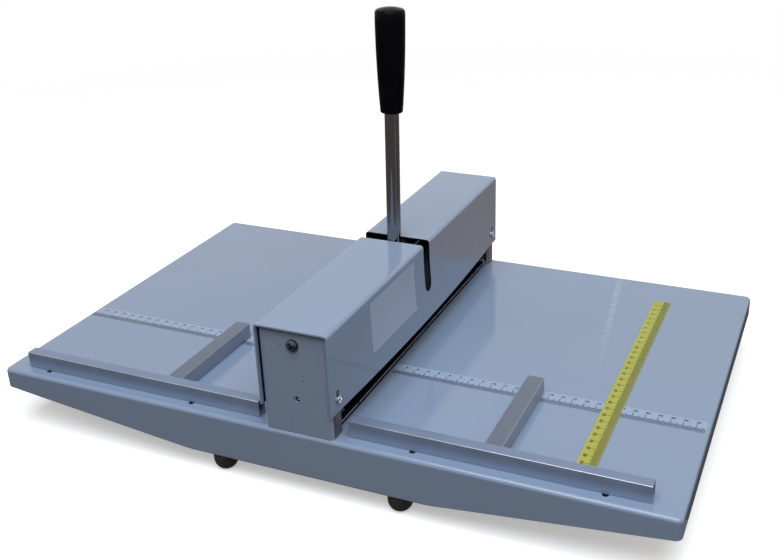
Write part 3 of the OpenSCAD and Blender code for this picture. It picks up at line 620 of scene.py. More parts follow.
class Coat(Enum):
    """The finishes of the machine's pieces. Each value is the finish that makes the material."""

    PAINT = Enamel("blue_grey_enamel", BLUE_GREY)
    # The table's enamel carries a painted highlight streak.
    TABLE = Enamel("table_enamel", BLUE_GREY, smear_x=192.0 * MM)
    # The cheek's flanks under the cover carry painted shade.
    CHEEK = Enamel("cheek_enamel", (0.205, 0.267, 0.366), chip_r=0.09, chipped=0.5, side=29.8 * MM)
    # Painted shade: near-black paint inside the cover and on its slot edges, where only shade falls.
    SHADE = Enamel("shaded_inside", (0.004, 0.005, 0.007), gloss=0.7, shine=0.03)
    FRAME_PAINT = Enamel("dark_grey_enamel", (0.1, 0.12, 0.155), gloss=0.3)
    LABEL = Tape("bare_label", (0.34, 0.41, 0.54), (0.26, 0.31, 0.4), gloss=0.34)
    BED = BlackOxide("blackened_bed", (0.009, 0.011, 0.018), edge=25.5 * MM, top=60.0 * MM, shine=0.0)
    BLACK = BlackOxide("blackened_steel")
    CHROME = Chrome("chrome_rod")
    GROUND_Y = DrawnMetal("ground_steel", (0.56, 0.56, 0.57), Axis.Y, 0.2, 0.16)
    TURNED_Z = DrawnMetal("turned_steel", (0.6, 0.6, 0.61), Axis.Z, 0.16, 0.14)
    ZINC = DrawnMetal("zinc_plate", (0.4, 0.41, 0.44), Axis.Z, 0.26, 0.14, 500.0)
    DARK_ZINC = DrawnMetal("dark_zinc_plate", (0.07, 0.085, 0.11), Axis.Y, 0.2, 0.14, 500.0)
    BRONZE = DrawnMetal("oiled_bronze", (0.3, 0.2, 0.1), Axis.Y, 0.26, 0.16)
    NICKEL = DrawnMetal("nickel_plate", (0.62, 0.6, 0.56), Axis.Z, 0.18, 0.12)
    # The fences and stops carry painted reflections on their lower flanks.
    FENCE = DrawnMetal(
        "drawn_aluminium_x", (0.165, 0.215, 0.31), Axis.X, 0.3, 0.18,
        metal=0.25, top=68.0 * MM, fall=10.0 * MM, flank=1.5,
    )
    STOP = DrawnMetal(
        "drawn_aluminium_y", (0.115, 0.135, 0.178), Axis.Y, 0.34, 0.2,
        metal=0.2, top=70.6 * MM, flank=2.1,
    )
    # Painted highlight on the long rounded edges of the fences and stops.
    ARRIS = DrawnMetal("painted_edge_glint", (0.34, 0.36, 0.41), Axis.X, 0.25, 0.15)
    RUBBER = Moulded("foot_rubber", (0.014, 0.014, 0.015), 0.42, 0.25, depth=0.00003)
    GRIP = Moulded("grip_plastic", (0.003, 0.003, 0.004), 0.08, 0.1, dust_share=0.01, shine=0.03)
    WHITE = Tape("white_tape", (0.265, 0.335, 0.455), (0.2, 0.25, 0.34))
    YELLOW = Tape("yellow_tape", (0.34, 0.345, 0.038), (0.26, 0.26, 0.04))
    INK = Ink("scale_ink", (0.004, 0.005, 0.012), (0.06, 0.07, 0.1))
    TAPE_INK = Ink("tape_ink", (0.01, 0.01, 0.004), (0.08, 0.08, 0.015))


@functools.cache
def material(coat: Coat) -> Material:
    """The material of a finish, made when it is first asked for."""
    return coat.value.make()


# Mesh building


def full_turn(sides: int) -> np.ndarray:
    """Angles of equal steps round a full turn, in radians, without the last."""
    return np.linspace(0.0, 2 * np.pi, sides, endpoint=False)


def grid_quads(rows: int, columns: int, wrap_rows: bool, wrap_columns: bool) -> np.ndarray:
    """Quads of a grid whose point in row i and column j has the number i * columns + j.

    Args:
        rows: number of rows.
        columns: number of columns.
        wrap_rows: whether the last row joins the first.
        wrap_columns: whether the last column joins the first.

    Returns:
        One line of four point numbers for each quad.
    """
    i = np.arange(rows if wrap_rows else rows - 1)[:, None]
    j = np.arange(columns if wrap_columns else columns - 1)[None, :]
    down, right = (i + 1) % rows, (j + 1) % columns
    corners = (i * columns + j, down * columns + j, down * columns + right, i * columns + right)
    return np.stack(np.broadcast_arrays(*corners), axis=-1).reshape(-1, 4)


def shade(mesh: bpy.types.Mesh, sharp: float = SHARP) -> None:
    """Makes a mesh smooth, but for edges that turn by more degrees than the limit."""
    mesh.shade_smooth()
    mesh.set_sharp_from_angle(angle=math.radians(sharp))


def linked(name: str, data: bpy.types.ID, coats: Sequence[Coat] = ()) -> Piece:
    """Puts data into the scene as an object.

    Args:
        name: the object's name.
        data: its mesh, text, camera or lamp.
        coats: for a mesh, a finish for each material slot.

    Returns:
        The new object, at the origin.
    """
    made = bpy.data.objects.new(name, data)
    bpy.context.scene.collection.objects.link(made)
    for coat in coats:
        data.materials.append(material(coat))
    return made


class Skin:
    """Patches of points and faces, in millimetres, that are joined into one closed mesh."""

    def __init__(self) -> None:
        """Starts with no patch."""
        self.points: list[np.ndarray] = []
        self.faces: list[list[int]] = []
        self.slots: list[int] = []
        self.count = 0

    def patch(self, points: np.ndarray, faces: np.ndarray, slot: Slots = 0) -> None:
        """Adds points and the faces between them.

        Args:
            points: places with X, Y and Z in the last dimension.
            faces: for each face the numbers of its points, from zero.
            slot: a material slot for all the faces, or one for each.
        """
        flat = points.reshape(-1, 3)
        self.points.append(flat)
        self.faces += (faces + self.count).tolist()
        self.slots += np.broadcast_to(slot, len(faces)).tolist()
        self.count += len(flat)

    def grid(
        self,
        points: np.ndarray,
        wrap_rows: bool = False,
        wrap_columns: bool = False,
        slot: Slots = 0,
    ) -> None:
        """Adds a surface of rows and columns of points, either of which may close on itself."""
        quads = grid_quads(points.shape[0], points.shape[1], wrap_rows, wrap_columns)
        self.patch(points, quads, slot)

    def tube(self, points: np.ndarray, slot: Slots = 0) -> None:
        """Adds a surface of closed rings and closes both of its ends.

        Args:
            points: places by ring and side.
            slot: a material slot for all the faces of the side, or one for each.
        """
        self.grid(points, wrap_columns=True, slot=slot)
        for ring in (points[0], points[-1]):
            self.patch(ring, np.arange(len(ring))[None, :])

    def copies(self, points: np.ndarray, faces: np.ndarray, moves: np.ndarray) -> None:
        """Adds a shape once for each move.

        Args:
            points: places of the shape.
            faces: for each face the numbers of its points.
            moves: how far each copy is moved.
        """
        moved = points[None, :, :] + moves[:, None, :]
        step = np.arange(len(moves))[:, None, None] * len(points)
        self.patch(moved, (faces[None, :, :] + step).reshape(-1, faces.shape[1]))

    def build(self, name: str, coats: Sequence[Coat], sharp: float = SHARP) -> Piece:
        """Makes the object: doubles merged, faces turned outwards, smooth up to an angle.

        Args:
            name: the object's name.
            coats: a finish for each material slot.
            sharp: edges that turn by more degrees than this stay sharp.

        Returns:
            The new object, at the origin.
        """
        mesh = bpy.data.meshes.new(name)
        points = np.concatenate(self.points) * MM
        mesh.from_pydata(points.tolist(), [], self.faces)
        mesh.polygons.foreach_set("material_index", self.slots)
        shape = bmesh.new()
        shape.from_mesh(mesh)
        bmesh.ops.remove_doubles(shape, verts=shape.verts, dist=MERGED)
        bmesh.ops.dissolve_degenerate(shape, edges=shape.edges, dist=MERGED / 2)
        bmesh.ops.recalc_face_normals(shape, faces=shape.faces)
        shape.to_mesh(mesh)
        shape.free()
        shade(mesh, sharp)
        return linked(name, mesh, coats)


def rounded_loop(
    half: tuple[float, float], radius: float, inset: np.ndarray, steps: int = 5
) -> np.ndarray:
    """Outlines of a rectangle with rounded corners, each drawn in by its own inset.

    A point is its corner's centre plus the radius, less the inset, in the directions of a
    quarter turn.

    Args:
        half: half the width and half the height.
        radius: radius of the corners.
        inset: how far each outline is drawn in, less than the radius.
        steps: steps in each corner.

    Returns:
        Points with the outline in the first dimension, then the point, then its two coordinates.
    """
    turn = np.linspace(0.0, np.pi / 2, steps + 1)[None, :]
    start = np.arange(4)[:, None] * np.pi / 2
    angle = (start + turn).ravel()
    corner = np.repeat(start.ravel() + np.pi / 4, steps + 1)
    centre = np.stack(
        [(half[0] - radius) * np.sign(np.cos(corner)), (half[1] - radius) * np.sign(np.sin(corner))],
        axis=-1,
    )
    out = np.stack([np.cos(angle), np.sin(angle)], axis=-1)
    return centre + (radius - np.asarray(inset)[:, None, None]) * out


def edge_round(edge: float, steps: int = 4) -> tuple[np.ndarray, np.ndarray]:
    """Distances edge * (1 - cos a) in from a rounded end, and insets edge * (1 - sin a) there."""
    a = np.linspace(0.0, np.pi / 2, steps + 1)
    return edge * (1 - np.cos(a)), edge * (1 - np.sin(a))


@dataclass
class Bar:
    """A bar or tube of rounded rectangular section, carried along an axis."""

    axis: Axis
    start: float
    end: float
    middle: tuple[float, float]
    half: tuple[float, float]
    radius: float
    edge: float
    wall: float = 0.0
    arris: bool = False
    least_r: float = 0.2

    @classmethod
    def of_node(
        cls, node: str, axis: Axis, radius: float, edge: float, wall: float = 0.0
    ) -> "Bar":
        """The bar that fills the box of a CAD node, with its long edges in the second slot.

        Args:
            node: the CAD node.
            axis: the axis that it is carried along.
            radius: radius of its long edges.
            edge: rounding of its ends.
            wall: thickness of a tube's wall.

        Returns:
            The bar.
        """
        low, high = (np.array(corner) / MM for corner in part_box(node))
        middle, half = (np.delete(v, axis.value) / 2 for v in (low + high, high - low))
        ends = low[axis.value], high[axis.value]
        return cls(axis, *ends, tuple(middle), tuple(half), radius, edge, wall, arris=True)

    def add(self, skin: Skin) -> None:
        """Adds the bar to a skin, as an outline at each distance along the axis.

        With a wall it is a tube, whose bore closes the grid. With glinting edges, its long rounded
        edges take the second material slot, which the fences and stops fill with a painted highlight.

        Args:
            skin: what it is added to.
        """
        depth, inset = edge_round(self.edge)
        along = np.concatenate([self.start + depth, self.end - depth[::-1]])
        loops = rounded_loop(self.half, self.radius, np.concatenate([inset, inset[::-1]]))
        if self.wall:
            bore_half = (self.half[0] - self.wall, self.half[1] - self.wall)
            bore_radius = max(self.radius - self.wall, self.least_r)
            loops = np.concatenate([loops, rounded_loop(bore_half, bore_radius, np.zeros(2))])
            along = np.concatenate([along, [self.end, self.start]])
        points = self.axis.place(
            loops[..., 0] + self.middle[0], loops[..., 1] + self.middle[1], along[:, None]
        )
        rows = len(points) if self.wall else len(points) - 1
        corner = points.shape[1] // 4
        turned = np.arange(points.shape[1]) % corner != corner - 1
        outer = np.arange(rows)[:, None] < 2 * len(depth) - 1
        slots = (turned[None, :] & outer).astype(int).ravel() if self.arris else 0
        if self.wall:
            skin.grid(points, wrap_rows=True, wrap_columns=True, slot=slots)
        else:
            skin.tube(points, slots)


@dataclass
class Turning:
    """A turned shape: a profile of radius and height, spun round an axis."""

    axis: Axis
    middle: tuple[float, float]
    profile: np.ndarray
    sides: int = 48

    def add(self, skin: Skin) -> None:
        """Adds the turned surface: radius times the cosine and sine of each angle.

        Args:
            skin: what it is added to.
        """
        angle = full_turn(self.sides)[None, :]
        radius, height = self.profile[:, 0, None], self.profile[:, 1, None]
        points = self.axis.place(
            self.middle[0] + radius * np.cos(angle), self.middle[1] + radius * np.sin(angle), height
        )
        skin.grid(points, wrap_columns=True)


def drum(radius: float, low: float, high: float) -> np.ndarray:
    """Profile of a plain cylinder between two heights, from its axis and back to it."""
    return np.array([[0.0, low], [radius, low], [radius, high], [0.0, high]])


def arc(middle: tuple[float, float], radius: float, first: float, last: float, steps: int) -> np.ndarray:
    """Points of an arc: the middle plus the radius, in directions between two angles in degrees."""
    a = np.radians(np.linspace(first, last, steps + 1))
    return np.stack([middle[0] + radius * np.cos(a), middle[1] + radius * np.sin(a)], axis=-1)


@dataclass(frozen=True)
class CrossScrew:
    """A screw with a cross recess. Its head's seat is at zero, its shank below.

    It has a domed head, or with no height a countersunk one. The shares are of its head's
    diameter, apart from those of the rim, a share of the height, and the tip, a share of the
    shank.
    """

    shank: float
    head: float
    height: float
    length: float
    arm_share: float = 0.085
    reach_share: float = 0.27
    recess_share: float = 0.2
    rim_share: float = 0.42
    tip_share: float = 0.9
    sides: int = 48
    rings: int = 14

    def recess(self, x: np.ndarray, y: np.ndarray) -> np.ndarray:
        """How deep the cross is: two crossed arms with sloping walls, deepest in the middle.

        Args:
            x: distance along one arm.
            y: distance along the other.

        Returns:
            Depth between 0 and the head's diameter times its share.
        """
        arm, reach = self.head * self.arm_share, self.head * self.reach_share

        def inside(distance: np.ndarray, limit: float) -> np.ndarray:
            """1 up to 0.75 of the limit and 0 beyond 1.25 of it, with a smooth step between."""
            t = np.clip((limit * 1.25 - np.abs(distance)) / (limit * 0.5), 0.0, 1.0)
            return t * t * (3 - 2 * t)

        cross = np.maximum(inside(x, arm) * inside(y, reach), inside(y, arm) * inside(x, reach))
        return cross * self.head * self.recess_share

    def points(self) -> np.ndarray:
        """Points of the screw from the middle of its head to the end of its shank.

        The head's top is its rim plus a dome, 1 - (r / R) squared times what is left of its
        height, less the recess. The rows after it go in to the shank and down to its end.

        Returns:
            A grid of points, with the screw's axis along Z.
        """
        share = np.linspace(0.0, 1.0, self.rings + 1)[:, None]
        radius = self.head / 2 * share
        angle = full_turn(self.sides)[None, :]
        rim = self.height * self.rim_share
        dome = rim + (self.height - rim) * (1 - share**2)
        top = dome - self.recess(radius * np.cos(angle), radius * np.sin(angle))
        seat = [(self.head / 2, 0.0), (self.shank / 2, 0.0)]
        if not self.height:
            seat = [(self.shank / 2, (self.shank - self.head) / 2)]
        tip = [(self.shank / 2 * self.tip_share, -self.length), (0.0, -self.length)]
        lower = np.array(seat + tip)
        radius = np.concatenate([radius, lower[:, :1]])
        z = np.concatenate([top, lower[:, 1:] + 0 * angle])
        return np.stack([radius * np.cos(angle), radius * np.sin(angle), z], axis=-1)

    def add(self, skin: Skin, seat: Point, out: Point, turn: float) -> None:
        """Adds the screw to a skin.

        Args:
            skin: what it is added to.
            seat: where its head sits.
            out: the direction that its head points in.
            turn: how far it is turned about its axis, in degrees.
        """
        spin = Matrix.Rotation(math.radians(turn), 3, "Z")
        facing = Vector(out).to_track_quat("Z", "Y").to_matrix() @ spin
        points = self.points() @ np.array(facing).T + np.array(seat)
        skin.grid(points, wrap_columns=True)


def smooth_tube(path: np.ndarray, radius: float, sides: int) -> np.ndarray:
    """Rings round a path: each is square to the path, by the vertical and the path's direction.

    Args:
        path: points of the centre line.
        radius: radius of the tube.
        sides: points in each ring.

    Returns:
        A grid of points, ring by ring.
    """
    ahead = np.gradient(path, axis=0)
    ahead /= np.linalg.norm(ahead, axis=1, keepdims=True)
    side = np.cross(ahead, UP)
    side /= np.linalg.norm(side, axis=1, keepdims=True)
    up = np.cross(side, ahead)
    a = full_turn(sides)[None, :, None]
    return path[:, None, :] + radius * (np.cos(a) * side[:, None, :] + np.sin(a) * up[:, None, :])


def carve(piece: Piece, cutters: Skin) -> None:
    """Cuts shapes out of a piece and keeps nothing of the cutters.

    Args:
        piece: the piece that is cut.
        cutters: closed shapes to take away.
    """
    tool = cutters.build("cutter", [])
    cut = piece.modifiers.new("cut", "BOOLEAN")
    cut.operation, cut.solver, cut.object = "DIFFERENCE", "EXACT", tool
    bpy.context.view_layer.update()
    evaluated = piece.evaluated_get(bpy.context.evaluated_depsgraph_get())
    result = bpy.data.meshes.new_from_object(evaluated)
    piece.modifiers.clear()
    piece.data = result
    bpy.data.objects.remove(tool)
    shade(result)


def soften(piece: Piece, width: float, angle: float = 50.0, steps: int = 2) -> None:
    """Rounds the sharp edges of a piece with a small live bevel.

    Args:
        piece: the piece whose edges are rounded.
        width: width of the bevel, in millimetres.
        angle: edges that turn by more degrees than this are rounded.
        steps: faces across the bevel.
    """
    bevel = piece.modifiers.new("soft_edges", "BEVEL")
    bevel.limit_method, bevel.angle_limit = "ANGLE", math.radians(angle)
    bevel.width, bevel.segments = width * MM, steps
    bevel.use_clamp_overlap = True


def refined(node: str, name: str, coat: Coat, width: float, flat: float = 0.5) -> Piece:
    """A merged copy of a flat-faced CAD node, with softened edges.

    Args:
        node: the CAD node that is copied.
        name: the new piece's name.
        coat: its finish.
        width: width of the softened edges.
        flat: faces that turn by fewer degrees than this are joined.

    Returns:
        The copy.
    """
    shape = bmesh.new()
    shape.from_mesh(bpy.data.objects[node].data)
    bmesh.ops.remove_doubles(shape, verts=shape.verts, dist=MERGED)
    bmesh.ops.dissolve_limit(
        shape, angle_limit=math.radians(flat), verts=shape.verts, edges=shape.edges
    )
    mesh = bpy.data.meshes.new(name)
    shape.to_mesh(mesh)
    shape.free()
    shade(mesh)
    piece = linked(name, mesh, [coat])
    soften(piece, width)
    return piece


def seat_piece(piece: Piece, body: str, slot: str, *nodes: str) -> None:
    """Lets a piece ride on a body and reports it.

    Args:
        piece: the finished piece.
        body: the CAD body that it rides on.
        slot: the record's material slot, which is not used.
        nodes: the CAD nodes that it stands for, which are hidden.
    """
    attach(piece, body)
    if nodes:
        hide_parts(*nodes)
    LOG.info("piece %s on %s in place of %s", piece.name, body, ", ".join(nodes) or "no node")


def seat_screws(
    name: str,
    node: str,
    screw: CrossScrew,
    places: Sequence[tuple[Point, Point, float]],
    coat: Coat = Coat.ZINC,
    body: str = "frame",
) -> None:
    """Makes a group of equal screws as one piece.

    Args:
        name: the piece's name.
        node: the CAD node of the same screws.
        screw: their sizes.
        places: for each the seat of its head, the direction it points in, and its turn.
        coat: their finish.
        body: the CAD body that they ride on.
    """
    skin = Skin()
    for place in places:
        screw.add(skin, *place)
    seat_piece(skin.build(name, [coat]), body, "zinc_steel", node)


def dress(frame: Frame, coat: Coat, *nodes: str) -> None:
    """Gives CAD nodes a finish and reports each.

    Args:
        coat: the finish.
        nodes: names of the CAD nodes.
    """
    for node in nodes:
        for place in frame["nodes"][node].material_slots:
            place.material = material(coat)
        LOG.info("node %s dressed in %s", node, coat.name)


# Sub-assemblies


@dataclass
class Table:
    """The folded table, its feet and the channel below it."""

    foot_x: float = 80.0
    foot_y: float = 175.2
    foot_r: float = 10.3
    foot_flat_r: float = 4.5
    foot_h: float = 17.5
    groove_r: float = 0.5
    groove_down: float = 4.0
    shoulder_r: float = 0.8

    def foot_profile(self) -> np.ndarray:
        """The outline of a foot: flat, ball, a moulded groove and a shoulder.

        Returns:
            Radius and height of each point, from the desk up.
        """
        ball_z = math.sqrt(self.foot_r**2 - self.foot_flat_r**2)
        low = math.degrees(math.atan2(-ball_z, self.foot_flat_r))
        ball = arc((0.0, ball_z), self.foot_r, low, 0.0, 10)
        groove_at = (self.foot_r, self.foot_h - self.groove_down)
        groove = arc(groove_at, self.groove_r, -90.0, -270.0, 6)
        shoulder_at = (self.foot_r - self.shoulder_r, self.foot_h - self.shoulder_r)
        shoulder = arc(shoulder_at, self.shoulder_r, 0.0, 90.0, 4)
        return np.concatenate([[(0.0, 0.0)], ball, groove, shoulder, [(0.0, self.foot_h)]])

    def build(self, frame: Frame) -> None:
        """Dresses the sheet parts and makes the feet.
        """
        dress(frame, Coat.TABLE, "table_tray")
        dress(frame, Coat.FRAME_PAINT, "press_channel")
        dress(frame, Coat.ZINC, "foot_studs", "foot_nuts", "frame_nuts", "fence_washers")
        profile = self.foot_profile()
        for end, sy in (("front", -1), ("rear", 1)):
            for side, sx in (("left", -1), ("right", 1)):
                skin = Skin()
                Turning(Axis.Z, (sx * self.foot_x, sy * self.foot_y), profile).add(skin)
                piece = skin.build(f"rubber_foot_{end}_{side}", [Coat.RUBBER])
                seat_piece(piece, "frame", "black_rubber", f"foot_{end}_{side}")


@dataclass
class Bed:
    """The black bed plate with its grooved strip, and the screws of both."""

    top: float = 60.0
    screw_x: float = 16.25
    screw_y: float = 147.49
    screw_turn: float = 23.0
    screw: CrossScrew = CrossScrew(4.0, 7.0, 0.0, 8.0)
    strip_screw_y: float = 120.05
    strip_screw_z: float = 52.0
    strip_screw_turn: float = 44.0
    strip_screw: CrossScrew = CrossScrew(4.0, 7.0, 2.6, 6.95)
    plate_edge: float = 0.35
    strip_edge: float = 0.12

    def build(self) -> None:
        """Makes the plate, the strip and the screws, each turned a little further."""
        plate = refined("bed_plate", "bed_plate_black", Coat.BED, self.plate_edge)
        seat_piece(plate, "frame", "black_steel", "bed_plate")
        strip = refined("matrix_strip", "grooved_strip", Coat.GROUND_Y, self.strip_edge)
        seat_piece(strip, "frame", "ground_steel", "matrix_strip")
        upper = [
            ((x, y, self.top), UP, self.screw_turn * i + x)
            for i, y in enumerate((-self.screw_y, 0.0, self.screw_y))
            for x in (-self.screw_x, self.screw_x)
        ]
        seat_screws("bed_screws_crossed", "bed_screws", self.screw, upper)
        lower = [
            ((0.0, y, self.strip_screw_z), DOWN, self.strip_screw_turn * i)
            for i, y in enumerate((-self.strip_screw_y, 0.0, self.strip_screw_y))
        ]
        seat_screws("matrix_screws_crossed", "matrix_screws", self.strip_screw, lower)


@dataclass
class Head:
    """The cheeks with their bolts, and the posts, bushes and springs between them."""

    post_y: float = 177.8
    spring_r: float = 5.1
    wire: float = 1.2
    turns: int = 7
    spring_low: float = 61.5
    spring_high: float = 93.0
    press: float = 8.2
    bolt_x: float = 20.0
    bolt_z: float = 59.5
    bolt_turns: tuple[float, float] = (35.0, 50.0)
    bolt: CrossScrew = CrossScrew(6.0, 10.5, 3.9, 13.7)

    def spring_path(self, steps: int = 28) -> np.ndarray:
        """Centre line of a spring: a helix that rises slowly in its first and last turn.

        The rise for each turn is one and a half wires at the ends, and what is left between them
        is shared by the other turns.

        Args:
            steps: points in each turn.

        Returns:
            One line of X, Y and Z for each point.
        """
        t = np.linspace(0.0, self.turns, self.turns * steps + 1)
        rise = self.spring_high - self.spring_low - self.wire
        close = self.wire * 1.5
        z = np.interp(t, [0, 1, self.turns - 1, self.turns], [0, close, rise - close, rise])
        angle = 2 * np.pi * t
        x, y = self.spring_r * np.cos(angle), self.spring_r * np.sin(angle)
        return np.stack([x, y, self.spring_low + self.wire / 2 + z], axis=-1)

    def build(self, frame: Frame) -> None:
        """Dresses the cheeks and what they carry, and makes the springs and the bolts.
        """
        dress(frame, Coat.CHEEK, "front_cheek", "rear_cheek")
        dress(frame, Coat.TURNED_Z, "front_post", "rear_post")
        dress(frame, Coat.BRONZE, "front_bush", "rear_bush")
        path = self.spring_path()
        for end, s in (("front", -1.0), ("rear", 1.0)):
            skin = Skin()
            placed = path * (1.0, s, 1.0) + (0.0, s * self.post_y, 0.0)
            skin.tube(smooth_tube(placed, self.wire / 2, 10))
            piece = skin.build(f"{end}_spring_wire", [Coat.TURNED_Z])
            seat_piece(piece, "frame", "ground_steel", f"{end}_return_spring")
            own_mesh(piece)
        aside, behind = self.bolt_turns
        places = [
            ((x, y, self.bolt_z), UP, aside * i + behind * j)
            for i, x in enumerate((-self.bolt_x, self.bolt_x))
            for j, y in enumerate((-self.post_y, self.post_y))
        ]
        seat_screws("cheek_bolts_crossed", "cheek_bolts", self.bolt, places)


@dataclass
class CoverShell:
    """The folded cover: sprung sides, a slot for the handle and four screw slots."""

    half_w: float = 31.5
    half_l: float = 189.5
    flat_y: float = 171.8
    top: float = 149.5
    low: float = 79.0
    bow_top: float = 143.5
    spring: float = 4.2
    sheet: float = 1.5
    fold: float = 3.0
    slot_r: float = 6.8
    slot_y: float = 1.0
    slot_z: float = 109.8
    low_rows: int = 8
    screw: CrossScrew = CrossScrew(4.0, 7.0, 2.6, 4.9)
    screw_y: float = 177.8
    screw_z: float = 90.0
    screw_run: float = 6.0
    screw_slot_r: float = 2.3
    screw_turns: tuple[tuple[int, int, float], ...] = (
        (-1, -1, 12.0),
        (1, -1, 40.0),
        (-1, 1, 65.0),
        (1, 1, 28.0),
    )
    cut_x: float = 40.0
    hair: float = 0.01
    soft_edge: float = 0.25
    label_y: tuple[float, float] = (-116.0, -28.0)
    label_z: tuple[float, float] = (98.0, 142.5)
    label_r: float = 0.6
    label_out: float = 0.16
    label_in: float = 0.05
    lit_y: float = 186.4

    def bow(self, y: np.ndarray, z: np.ndarray) -> np.ndarray:
        """How far a side springs out: 1 - (y / flat y) squared, times the share of depth squared."""
        s = np.clip((self.bow_top - z) / (self.bow_top - self.low), 0.0, 1.0)
        return self.spring * np.clip(1 - (y / self.flat_y) ** 2, 0.0, None) * s**2

    def section(self) -> tuple[np.ndarray, np.ndarray, int]:
        """The right half of the cover's section, outside and inside.

        Returns:
            Two arrays of X and Z from the lower edge up over the fold to the middle of the top,
            and the row where the handle's slot starts.
        """
        turn = np.linspace(0.0, np.pi / 2, 11)
        fold_z = self.top - self.fold
        wall_z = np.concatenate(
            [
                np.linspace(self.low, self.slot_z - self.slot_r, self.low_rows + 1)[:-1],
                self.slot_z - self.slot_r * np.cos(turn),
                np.linspace(self.slot_z, fold_z, 10)[1:],
            ]
        )
        turn = np.linspace(0.0, np.pi / 2, 9)[1:]
        centre_x = self.half_w - self.fold
        top_x = np.linspace(centre_x, 0.0, 5)[1:]
        rows = []
        for radius in (self.fold, self.fold - self.sheet):
            wall_x = np.full_like(wall_z, centre_x + radius)
            fold = np.stack([centre_x + radius * np.cos(turn), fold_z + radius * np.sin(turn)], -1)
            flat = np.stack([top_x, np.full_like(top_x, fold_z + radius)], -1)
            rows.append(np.concatenate([np.stack([wall_x, wall_z], -1), fold, flat]))
        return rows[0], rows[1], self.low_rows

    def quadrant(self, rear: bool, columns: int = 30) -> tuple[np.ndarray, np.ndarray, int]:
        """Outside and inside points of the cover's right front or right rear quarter.

        Each row runs from the cover's end to the handle's slot, whose half width is that of a
        circle below its centre and its radius above it.

        Args:
            rear: whether the quarter is the rear one.
            columns: number of steps along the sprung length.

        Returns:
            The two grids and the first row that the slot cuts.
        """
        outside, inside, first = self.section()
        z = outside[:, 1]
        down = np.clip(self.slot_z - z, 0.0, self.slot_r)
        half_slot = np.where(z < self.slot_z - self.slot_r, 0.0, np.sqrt(self.slot_r**2 - down**2))
        share = np.linspace(0.0, 1.0, columns + 1)[None, :]
        way = 1.0 if rear else -1.0
        edge = self.slot_y + way * half_slot[:, None]
        sprung = way * self.flat_y + (edge - way * self.flat_y) * share
        ends = way * np.array([self.half_l, self.lit_y]) + np.zeros((len(z), 1))
        y = np.concatenate([ends, sprung], axis=1)
        grids = []
        for rows in (outside, inside):
            x = rows[:, 0, None] + self.bow(y, z[:, None])
            grids.append(np.stack([x, y, rows[:, 1, None] + 0 * y], axis=-1))
        return grids[0], grids[1], first

    def build_cover(self) -> None:
        """Makes the folded sheet from four mirrored quarters and cuts its screw slots."""
        skin = Skin()
        for side, rear in ((1, False), (-1, False), (1, True), (-1, True)):
            outside, inside, first = self.quadrant(rear)
            a, b = outside * (side, 1, 1), inside * (side, 1, 1)
            skin.grid(a)
            # Painted shade: past the first strip at each end, the inside takes the near-black slot.
            shaded = np.arange(b.shape[1] - 1) > 0
            skin.grid(b, slot=np.tile(shaded.astype(int), len(b) - 1))
            skin.grid(np.stack([a[:, 0], b[:, 0]]))
            skin.grid(np.stack([a[0], b[0]]))
            skin.grid(np.stack([a[first:, -1], b[first:, -1]]), slot=1)
        piece = skin.build("cover_sheet", [Coat.PAINT, Coat.SHADE])
        cutters = Skin()
        for y in (-self.screw_y, self.screw_y):
            middle = (y, self.screw_z + self.screw_run / 2)
            half = (self.screw_slot_r, self.screw_slot_r + self.screw_run / 2)
            radius, edge = self.screw_slot_r - self.hair, self.hair / 2
            Bar(Axis.X, -self.cut_x, self.cut_x, middle, half, radius, edge).add(cutters)
        carve(piece, cutters)
        soften(piece, self.soft_edge)
        seat_piece(piece, "frame", "blue_grey_paint", "cover")

    def build_screws(self) -> None:
        """Makes the four cross-headed screws in the cover's slots."""
        places = [
            ((sx * self.half_w, sy * self.screw_y, self.screw_z), (sx, 0, 0), turn)
            for sx, sy, turn in self.screw_turns
        ]
        seat_screws("cover_screws_crossed", "cover_screws", self.screw, places)

    def build_label(self, rows: int = 31, columns: int = 41) -> None:
        """Makes the bare label on the cover's right side: a thin sheet that follows the bow.

        Each row's length is drawn in near its ends, as the circle of the label's corners says.

        Args:
            rows: points up the label.
            columns: points along it.
        """
        z0, z1 = self.label_z
        z = np.linspace(z0, z1, rows)[:, None]
        over = np.clip(self.label_r - np.minimum(z - z0, z1 - z), 0.0, self.label_r)
        short = self.label_r - np.sqrt(self.label_r**2 - over**2)
        y0, y1 = self.label_y[0] + short, self.label_y[1] - short
        y = y0 + (y1 - y0) * np.linspace(0.0, 1.0, columns)[None, :]
        z = z + 0 * y
        x = self.half_w + self.bow(y, z)
        front = np.stack([x + self.label_out, y, z], axis=-1)
        back = np.stack([x - self.label_in, y, z], axis=-1)
        skin = Skin()
        skin.grid(front)
        skin.grid(back)
        for edge in (np.s_[0], np.s_[-1], np.s_[:, 0], np.s_[:, -1]):
            skin.grid(np.stack([front[edge], back[edge]]))
        seat_piece(skin.build("bare_label", [Coat.LABEL]), "frame", "white_vinyl")

    def build(self) -> None:
        """Makes the cover, its screws and its bare label."""
        self.build_cover()
        self.build_screws()
        self.build_label()


